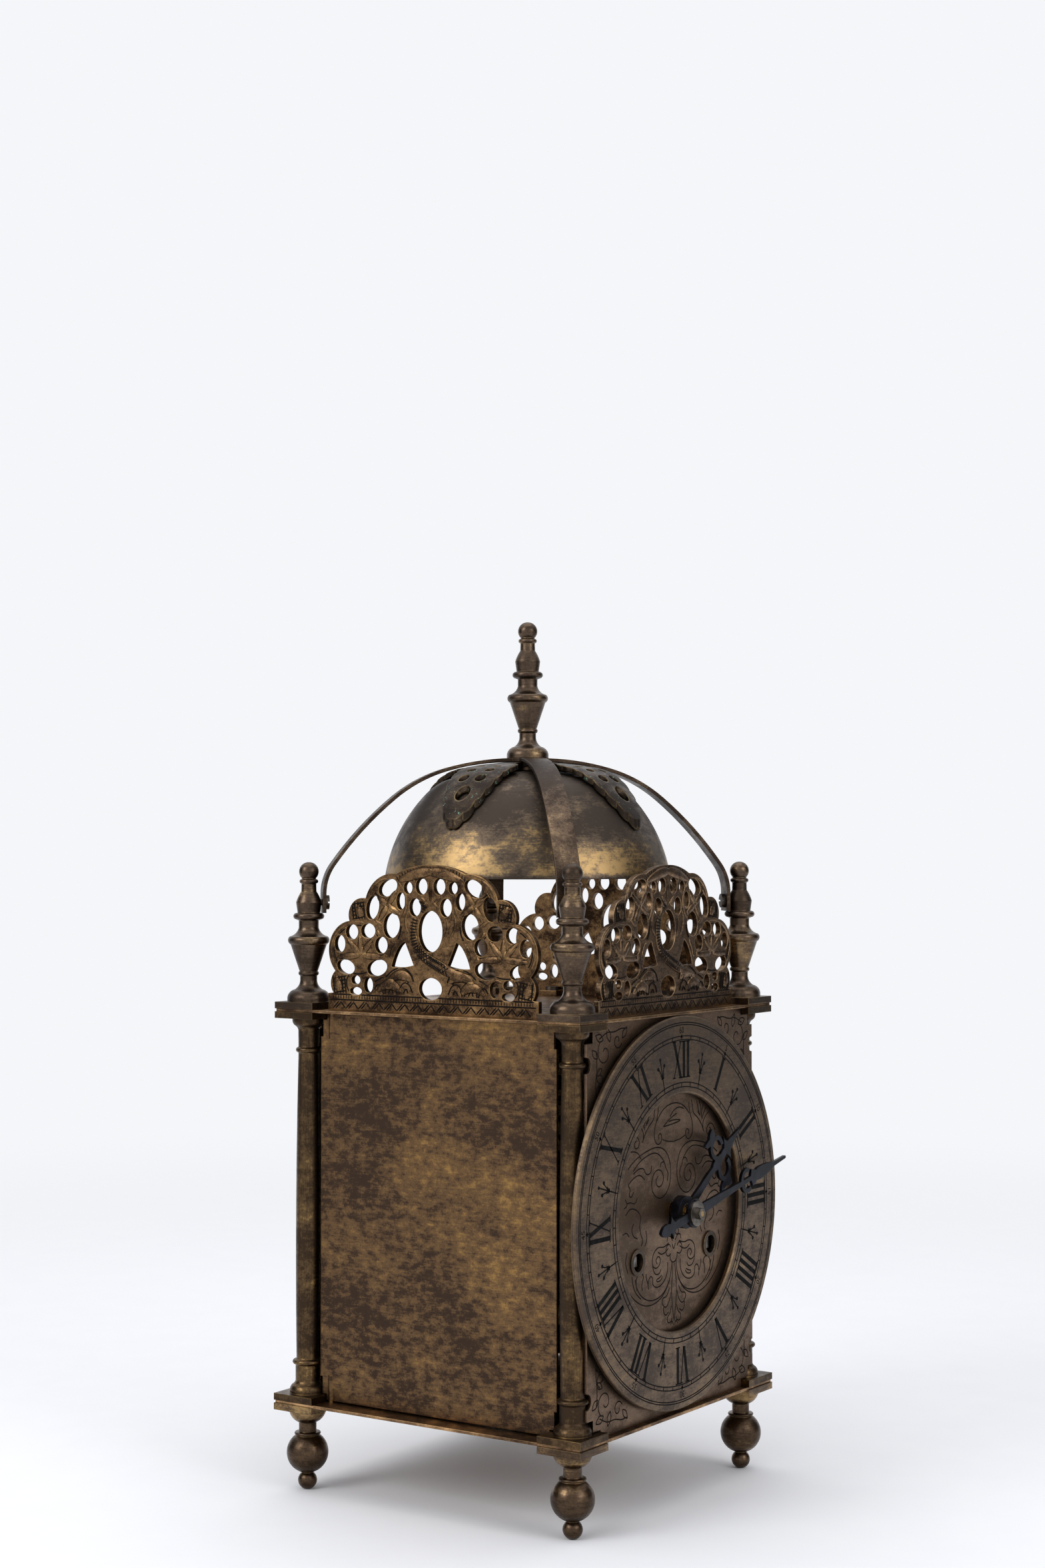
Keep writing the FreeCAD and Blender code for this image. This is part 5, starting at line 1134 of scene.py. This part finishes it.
@dataclass
class FretChasing:
    """Low relief and chased lines on the fronts of the three dolphin frets.

    A fret's flat frame has its origin in the middle of its foot.

    Attributes:
        nodes: the CAD nodes.
        metals: the brass of each side's fret.
        dirt: what fills the chased lines.
        half: half a fret's width.
        line: width of a chased line.
        rosette: middle of the right half's large rosette.
        petals: its petals' directions in degrees and their lengths.
        small_rosette: middle of the smaller rosette over it.
        small_petals: the same for its petals.
        dolphin: the body's middle line, from the head to the tail.
    """

    nodes: Dict[str, Piece]
    metals: Dict[Side, Metal]
    dirt: Metal
    half: float = 52.5
    line: float = 0.62
    rosette: Point = (35.6, 22.9)
    petals: Tuple[Point, ...] = ((-4.5, 12.0), (43, 9.6), (87, 7.8), (133, 9.6), (183, 12.6))
    small_rosette: Point = (21.7, 43.6)
    small_petals: Tuple[Point, ...] = ((33, 8.8), (128, 7.6), (210, 7.6), (305, 7.6))
    dolphin: Tuple[Point, ...] = (
        (21.5, 15.0), (16.0, 15.6), (10.0, 17.0), (4.0, 19.6), (-2.5, 22.6), (-6.8, 26.4), (-8.6, 31.0),
        (-8.4, 36.0), (-6.4, 41.0), (-3.6, 44.6),
    )

    def rays(self, spot: Point, turns: Sequence[Point], start: float, end: float) -> List[Path]:
        """Draws straight petals from a rosette's middle.

        Args:
            spot: the rosette's middle.
            turns: each petal's direction in degrees and its length.
            start: where a petal begins, as a share of its length.
            end: where it ends.

        Returns:
            The petals' middle lines.
        """
        (x, y), last = spot, 6
        shares = [start + (end - start) * index / last for index in range(last + 1)]
        paths = []
        for turn, long in turns:
            cos, sin = math.cos(math.radians(turn)), math.sin(math.radians(turn))
            paths.append([(x + cos * long * share, y + sin * long * share) for share in shares])
        return paths

    def rim(self, x: float, y: float, wide: float, tall: float) -> Path:
        """Returns the closed rim round a rosette, from its middle, half its width and half its height."""
        turns = [math.radians(index * 10) for index in range(37)]
        return [(x + wide * math.cos(t), y + tall * math.sin(t)) for t in turns]

    def rims(self) -> List[Path]:
        """Draws the raised lines of the right half.

        Returns:
            The rosettes' rims and the ribs between the upper openings.
        """
        return [
            self.rim(37.0, 25.2, 14.0, 11.4),
            self.rim(21.9, 44.9, 9.9, 9.5),
            [(0, 45.2), (0, 49.0), (0, 54.6)],
            [(2.0, 44.6), (5.2, 47.4), (8.4, 54.0)],
            [(6.6, 30.4), (8.8, 33.6), (8.6, 37.4), (6.0, 41.8), (1.0, 44.8)],
            [(10.0, 31.2), (12.4, 34.6), (12.6, 38.8), (10.8, 41.4)],
            [(17.0, 28.8), (19.4, 25.6), (20.6, 21.6)],
        ]

    def scales(self) -> List[Path]:
        """Crosses the dolphin's body with scales and ribs its tail.

        Returns:
            The lines.
        """
        head, tail, narrow, lean = 9, 27, -6, 52
        spine = evenly(rounded(list(self.dolphin)), 1.7)
        paths = []
        for (ax, ay), (x, y), (bx, by) in zip(spine, spine[1:], spine[2:]):
            if x > head:
                continue
            half = 2.5 if x > narrow else 1.5
            for across in (lean, -lean) if y < tail else (90,):
                turn = math.atan2(by - ay, bx - ax) + math.radians(across)
                dx, dy = half * math.cos(turn), half * math.sin(turn)
                paths.append([(x - dx, y - dy), (x, y), (x + dx, y + dy)])
        return paths

    def hatched(self, x: float, y: float, wide: float, tall: float, step: float) -> List[Path]:
        """Crosses a small lobe with two sets of lines.

        Args:
            x: the lobe's middle.
            y: its middle's height.
            wide: half its width.
            tall: half its height.
            step: distance between lines.

        Returns:
            The lines.
        """
        slant, fall = 0.5, 0.6
        paths = []
        for index in range(-int(wide / step), int(wide / step) + 1):
            across = x + index * step
            paths.append([(across - slant, y - tall), (across + slant, y + tall)])
        for index in range(-int(tall / step), int(tall / step) + 1):
            height = y + index * step
            paths.append([(x - wide, height + fall), (x + wide, height - fall)])
        return paths

    def borders(self) -> List[Path]:
        """Draws the zigzag and toothed rows along the foot, and the ribbed top edge.

        Returns:
            The lines.
        """
        paths = [
            [(inset - self.half, y), (0, y), (self.half - inset, y)]
            for inset, y in ((1, 4.4), (2, 6.6))
        ]
        # The zigzag's rising strokes are double and its falling ones single.
        start, pitch, foot, top = 2.6 - self.half, 6.6, 0.8, 3.8
        for index in range(int(2 * (self.half - 2) / pitch)):
            x = start + index * pitch
            paths += [
                [(x, foot), (x + pitch * 0.46, top)],
                [(x + 1.3, foot), (x + pitch * 0.46 + 1.0, top - 0.4)],
                [(x + pitch * 0.52 + 0.4, top), (x + pitch * 0.98, foot)],
            ]
        teeth = 74
        for index in range(teeth):
            x = start - 2 * start * index / (teeth - 1)
            paths.append([(x, 4.8), (x, 6.3)])
        # The top edge droops to both sides.
        spacing, crown, droop, long = 1.45, 59.4, 0.0105, 2.9
        for index in range(-12, 13):
            x = index * spacing
            edge = crown - droop * x * x
            paths.append([(x, edge), (x * 0.95 + 0.3, edge - long)])
        return paths

    def veins(self) -> List[Path]:
        """Draws the finer lines of the right half.

        Returns:
            The petals' veins, a rim's inner line, the hatched lobes and the chased lines.
        """
        # Two veins lie a few degrees to each side of a petal's middle.
        apart, root, tip = 4.5, 0.22, 0.9
        paths = []
        for spot, turns in ((self.rosette, self.petals), (self.small_rosette, self.small_petals)):
            for shift in (-apart, apart):
                turned = [(turn + shift, long) for turn, long in turns]
                paths += self.rays(spot, turned, root, tip)
        paths.append(self.rim(37.0, 25.2, 12.6, 10.0))
        for x, y, wide, tall in ((46.6, 10.6, 3.6, 3.6), (36.8, 41.2, 3.2, 3.6)):
            paths += self.hatched(x, y, wide, tall, step=1.5)
        return paths + CHASED

    def work(self, side: Side) -> None:
        """Works the front of one fret.

        Args:
            side: the side of the case that it stands on.
        """
        name = side.name.lower()
        low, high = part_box("fret_" + name)
        middle = (low + high) / 2
        foot = {
            Side.FRONT: (middle.x, low.y, low.z),
            Side.LEFT: (low.x, middle.y, low.z),
            Side.RIGHT: (high.x, middle.y, low.z),
        }[side]
        turn = Matrix.Rotation(math.radians(side.value), 4, "Z") @ STANDING
        place = Matrix.Translation(foot) @ turn @ Matrix.Scale(MM, 4)
        graver = Graver(self.nodes["fret_" + name], place, margin=0.3)
        root, tip = 0.06, 1.0
        petals = self.rays(self.rosette, self.petals, root, tip)
        petals += self.rays(self.small_rosette, self.small_petals, root, tip)
        # The relief's lines, their width and how steeply they rise.
        swellings = {
            "petals": (both(petals), 3.1, 0.34),
            "rims": (both(self.rims()), 1.7, 0.4),
            "mounds": (both(MOUNDS), 4.6, 0.22),
            "dolphin": ([list(self.dolphin)], 5.0, 0.24),
        }
        relief = [
            Bench.lines(part, graver.kept(paths), wide, steep, True)
            for part, (paths, wide, steep) in swellings.items()
        ]
        Bench.dress(Bench.joined("relief_" + name, relief), place, self.metals[side])
        # Veins are steep so that they show on the petals, and scales are lifted onto the dolphin's back.
        flat, steep, back = 0.3, 1.5, 0.5
        borders = Bench.lines("borders", graver.kept(self.borders(), False, 2), self.line, flat)
        veins = Bench.lines("veins", graver.kept(both(self.veins())), self.line, steep)
        scales = Bench.lines("scales", graver.kept(self.scales(), False), self.line, flat)
        chasing = Bench.joined("chasing_" + name, [borders, veins, Bench.raised(scales, back)])
        Bench.dress(chasing, place, self.dirt)

    def build(self) -> None:
        """Works the front of each fret."""
        for side in Side:
            self.work(side)


# Sand castings, chased afterwards: a grainy skin, with painted shade in its recesses.
FRET = partial(
    Brass, cloud=8.0, speck=0.9, brush=Brush.NONE, golden=0.3, rough=(0.32, 0.48), edge=0.6, relief=0.2,
    broad=0.4, torn=0.4, tear=2.0, hollow_shade=1.6,
)
# A node has the finish whose listed beginning fits the node's name most closely.
FINISHES: Tuple[Union[Brass, Steel], ...] = (
    # Rolled sheet: wide brown clouds, ragged stains and warm metal between them.
    Brass(
        "patinated_sheet_brass", ("side_door",), "#3d3027", "#654e37", "#957445", cloud=32.0, speck=0.8,
        golden=0.32, rough=(0.36, 0.54), wear=0.4, broad=0.44, torn=0.8,
    ),
    # A sheet that nobody polishes: darker and more even than the doors.
    Brass(
        "patinated_back_sheet", ("back_plate",), "#2c241d", "#504232", "#786248", cloud=34.0, speck=1.4,
        golden=0.3,
    ),
    # Thick plate, handled at every cleaning: golden along its edges.
    Brass(
        "dark_plate_brass",
        ("base_plate", "top_plate", "case_brackets", "corner_studs", "chapter_ring_posts"), "#3e2f25",
        "#70573f", "#b9956a", cloud=14.0, speck=1.2, golden=0.55, rough=(0.32, 0.5), wear=0.8, edge=0.6,
    ),
    # Turned feet: smooth and dark, with a rubbed belt round the ball.
    Brass(
        "turned_foot_brass", ("foot_",), "#382d23", "#524234", "#a0845a", cloud=14.0, speck=0.9,
        golden=0.3, rough=(0.3, 0.42), wear=0.5, edge=0.5, band=(27.0, 40.0, 0.14), broad=0.5, torn=0.4,
    ),
    # Long shafts, polished up and down, with streaks of that direction.
    Brass(
        "pillar_brass", ("pillar_",), "#392d22", "#574530", "#9f8050", cloud=20.0, speck=0.9,
        brush=Brush.UPRIGHT, golden=0.26, rough=(0.3, 0.44), wear=0.5, edge=0.5,
    ),
    # Small turned parts: smooth, nearly even brown, with sharp glints on their beads.
    Brass(
        "turned_dark_brass", ("finial_", "top_finial", "winding_eyelets", "bell_stud"), "#3a3028",
        "#54463a", "#9a8059", cloud=14.0, speck=0.9, golden=0.34, rough=(0.3, 0.42), edge=0.5, broad=0.5,
        torn=0.3,
    ),
    # Cast bell metal: grey-brown and dull, with a lighter belt over the lip that is partly rubbed metal
    # and partly a painted highlight.
    Brass(
        "cast_bell_brass", ("bell",), "#3f3731", "#584c40", "#9c8158", cloud=14.0, speck=1.0, golden=0.08,
        rough=(0.42, 0.54), wear=0.3, edge=0.8, band=(254.0, 281.0, 0.24), broad=0.55, torn=0.7,
    ),
    # Hand-bent strap: dark faces and edges worn to metal.
    Brass(
        "strap_brass", ("bell_strap",), "#342a23", "#4b3e33", "#7a664f", speck=1.0, brush=Brush.NONE,
        golden=0.22, rough=(0.36, 0.5), wear=0.7, edge=0.5,
    ),
    # Hammered leaves: uneven dents, recesses darkened with painted shade, bright rims and some verdigris.
    Brass(
        "hammered_leaf_brass", ("leaf_ornament",), "#2c2520", "#3e342c", "#83704f", cloud=9.0, speck=0.9,
        brush=Brush.NONE, golden=0.12, rough=(0.36, 0.54), wear=0.9, edge=0.9, relief=0.4, green=0.8,
        hollow_shade=1.2,
    ),
    # Side frets: dark ground, with gold on whatever stands out.
    FRET("cast_fret_brass", ("fret_left", "fret_right"), "#33261c", "#6e553b", "#b5915f", wear=0.9),
    # The front one is a paler copy of the same brass: painted light that lightens its face.
    FRET("cast_front_fret_brass", ("fret_front",), "#3c2f26", "#7a634c", "#b99c79", wear=0.8),
    # Dial plate: dull, wide clouds, so that the engraving reads.
    Brass(
        "engraved_dial_brass", ("dial_plate",), "#554639", "#6d5949", "#8a745c", cloud=30.0, speck=1.0,
        brush=Brush.NONE, golden=0.34, rough=(0.4, 0.54), wear=0.5, edge=0.5,
    ),
    # Chapter ring: rubbed from side to side, with worn, golden edges.
    Brass(
        "chapter_ring_brass", ("chapter_ring",), "#4c4139", "#695847", "#9b8059", cloud=14.0, speck=0.8,
        brush=Brush.ACROSS, golden=0.24, rough=(0.36, 0.52), wear=1.0, broad=0.45, torn=0.5, tear=2.4,
    ),
    # Behind the doors the brass has stayed yellow and shiny.
    Brass(
        "movement_brass",
        (
            "movement_", "dial_feet", "back_cock", "going_barrel", "strike_barrel", "centre_wheel",
            "third_wheel", "escape_wheel", "pin_wheel", "locking_wheel", "minute_wheel", "hour_wheel",
            "intermediate_wheel", "cannon_pinion", "fly", "pendulum",
        ),
        "#735a35", "#957a50", "#b89c6b", cloud=18.0, speck=1.2, brush=Brush.UPRIGHT, golden=0.6,
        rough=(0.22, 0.36), wear=0.4, edge=0.3,
    ),
    # Bare ground steel: light grey, with sharp glints.
    Steel(
        "ground_steel",
        ("going_winding", "strike_winding", "going_click", "strike_click", "anchor", "hammer"),
        "#8d8c8a", "#b9b8b4",
    ),
    # Heated steel: blue-black, nearly black against the dial.
    Steel("blued_steel", ("hour_hand", "minute_hand"), "#15161b", "#2b2e38", (0.3, 0.48), 0.9),
    # Steel that fingers turn: worn to a warm grey.
    Steel("worn_steel_collet", ("hand_collet", "hand_nut"), "#4c4741", "#837c74", (0.28, 0.44)),
    # Old screws: brown-grey and dull.
    Steel("dark_steel_screw", ("small_screws",), "#3a342f", "#6a6058", (0.34, 0.55)),
)


@dataclass
class Finishes:
    """Gives every CAD node its finish.

    Attributes:
        nodes: the CAD nodes.
    """

    nodes: Dict[str, Piece]

    def build(self) -> Dict[str, Metal]:
        """Makes the finishes and puts them on the nodes.

        Returns:
            Each node's material.
        """
        choice: Dict[str, Tuple[int, Metal]] = {}
        for finish in FINISHES:
            material = finish.material()
            for name in self.nodes:
                for start in finish.parts:
                    if name.startswith(start) and len(start) > choice.get(name, (0, None))[0]:
                        choice[name] = (len(start), material)
        metals = {}
        for name, node in self.nodes.items():
            metals[name] = choice[name][1]
            for slot in node.material_slots:
                slot.material = metals[name]
            log.info("%s: %s", name, metals[name].name)
        return metals


@dataclass
class Studio:
    """Pale floor, white surroundings, soft lamps and the camera, all in metres and degrees.

    Attributes:
        camera_place: where the camera stands.
        yaw: where it looks, from +X towards +Y.
        pitch: how far it looks up.
        lens: its focal length in mm, for a sensor 36 mm wide.
        paper: colour of the surroundings.
        ambient: how bright they are as a light, against 1 as a picture.
        fade: distances from the clock where the floor starts and ends turning into them.
        lamps: each lamp's name, place, size and power in watts.
        lamp_aim: what they point at, the middle of the clock.
        cards: each dark card's name, place and size.
        card_aim: what those face, the bell.
    """

    camera_place: Spot = (-0.86238, -0.58291, 0.26750)
    yaw: float = 34.398
    pitch: float = 1.448
    lens: float = 56.18
    paper: str = "#f5f6f9"
    ambient: float = 0.73
    fade: Span = (0.3, 1.3)
    lamps: Tuple[Tuple[str, Spot, float, float], ...] = (
        ("lamp_left", (-1.2, 0.45, 0.9), 0.7, 8.0),
        ("lamp_front", (-0.2, -1.65, 0.9), 0.8, 7.5),
        ("lamp_top", (0.1, 0.1, 1.6), 1.3, 9.0),
    )
    lamp_aim: Spot = (0.0, 0.0, 0.17)
    cards: Tuple[Tuple[str, Spot, float], ...] = (
        ("dark_card_right", (1.15, -0.95, 0.4), 1.3),
        ("dark_card_left", (-0.55, 1.35, 0.4), 1.1),
    )
    card_aim: Spot = (0.0, 0.0, 0.3)

    def world(self) -> None:
        """Makes white surroundings, full for the camera and for reflections and softer as light."""
        world = bpy.data.worlds.new("studio_white")
        bpy.context.scene.world = world
        world.use_nodes = True
        world.node_tree.nodes.clear()
        add = partial(add_node, world.node_tree)
        rays = ("Camera", "Glossy", "Transmission")
        seen, glossy, through = [add("LightPath", out=f"Is {ray} Ray") for ray in rays]
        full = add("Math", {0: seen, 1: glossy}, operation="ADD")
        full = add("Math", {0: full, 1: through}, operation="ADD", use_clamp=True)
        level = add("MapRange", {"Value": full, "To Min": self.ambient, "To Max": 1.0})
        light = add("Background", {"Color": linear(self.paper), "Strength": level})
        add("OutputWorld", {"Surface": light})

    def floor(self) -> None:
        """Lays the paper floor, which fades into the white behind it well away from the clock."""
        Bench.fresh()
        bpy.ops.mesh.primitive_circle_add(vertices=96, radius=4.0, fill_type="NGON")
        floor = Bench.named(bpy.context.active_object, "paper_floor")
        # White paper: matt, with a faint grain of 25 mm.
        made, add = new_metal("white_paper")
        place = add("TexCoord", out="Object")
        grain = add("TexNoise", {"Vector": place, "Scale": 40.0, "Detail": 4.0})
        colour = add("Mix", {0: grain, 6: linear("#e9eaee"), 7: linear("#edeef1")}, 2, **RGBA)
        paper = add("BsdfPrincipled", {"Base Color": colour, "Roughness": 0.8}, "BSDF")
        glow = add("Emission", {"Color": linear(self.paper), "Strength": 1.0})
        away = add("VectorMath", {0: place}, 1, operation="LENGTH")
        near, far = self.fade
        share = add("MapRange", {"Value": away, "From Min": near, "From Max": far}, **SMOOTH)
        blend = add("MixShader", {0: share, 1: paper, 2: glow})
        add("OutputMaterial", {"Surface": blend})
        floor.data.materials.append(made)

    def flags(self) -> None:
        """Stands dark cards beyond both sides of the view, which only reflections meet."""
        # Black card: a matt, warm near-black that gives the brass something dark to mirror.
        made, add = new_metal("black_card")
        place = add("TexCoord", out="Object")
        weave = add("TexNoise", {"Vector": place, "Scale": 300.0})
        shade = add("Mix", {0: weave, 6: linear("#241f1b"), 7: linear("#342d27")}, 2, **RGBA)
        card = add("BsdfPrincipled", {"Base Color": shade, "Roughness": 0.9}, "BSDF")
        add("OutputMaterial", {"Surface": card})
        for name, spot, size in self.cards:
            Bench.fresh()
            bpy.ops.mesh.primitive_plane_add(size=size)
            flag = Bench.named(bpy.context.active_object, name)
            flag.data.materials.append(made)
            aim = Vector(self.card_aim) - Vector(spot)
            turn = aim.to_track_quat("Z", "Y").to_matrix().to_4x4()
            flag.data.transform(Matrix.Translation(spot) @ turn)
            flag.visible_camera = flag.visible_diffuse = flag.visible_shadow = False

    def lights(self) -> None:
        """Hangs the soft lamps, each turned to the middle of the clock."""
        for name, place, size, power in self.lamps:
            data = bpy.data.lights.new(name, "AREA")
            data.shape, data.size, data.energy = "SQUARE", size, power
            self.hung(name, data, place, Vector(self.lamp_aim) - Vector(place))

    def camera(self) -> None:
        """Sets the camera where the photograph was taken from."""
        data = bpy.data.cameras.new("camera")
        data.lens = self.lens
        data.sensor_width = 36.0
        data.sensor_fit = "AUTO"
        data.clip_start = 0.01
        yaw, pitch = math.radians(self.yaw), math.radians(self.pitch)
        level = math.cos(pitch)
        ahead = Vector((level * math.cos(yaw), level * math.sin(yaw), math.sin(pitch)))
        bpy.context.scene.camera = self.hung("camera", data, self.camera_place, ahead)

    def hung(self, name: str, data: Any, place: Spot, ahead: Vector) -> Piece:
        """Hangs a lamp or the camera.

        Args:
            name: its name.
            data: the lamp or camera.
            place: where it hangs.
            ahead: which way it looks.

        Returns:
            The object that holds it.
        """
        held = bpy.data.objects.new(name, data)
        bpy.context.scene.collection.objects.link(held)
        held.location = place
        held.rotation_euler = ahead.to_track_quat("-Z", "Y").to_euler()
        return held

    def build(self) -> None:
        """Sets up the whole studio."""
        self.world()
        self.floor()
        self.flags()
        self.lights()
        self.camera()
        bpy.context.scene.view_settings.view_transform = "Standard"


def main() -> None:
    """Builds the looks in order and reports each piece."""
    logging.basicConfig(level=logging.INFO, format="%(message)s")
    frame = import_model()
    Studio().build()
    nodes = frame["nodes"]
    metals = Finishes(nodes).build()
    # Wax reads as black on the chapter ring; dirt in the other cuts reads as dark brown.
    wax = Filling("black_wax_filling", "#0a0909", "#171514").material()
    cut = Filling("dirt_in_engraving", "#130e0b", "#231b15").material()
    ChapterEngraving(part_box("chapter_ring")[0].y, wax).build()
    DialEngraving(nodes["dial_plate"], cut).build()
    FretChasing(nodes, {side: metals["fret_" + side.name.lower()] for side in Side}, cut).build()


if __name__ == "__main__":
    main()
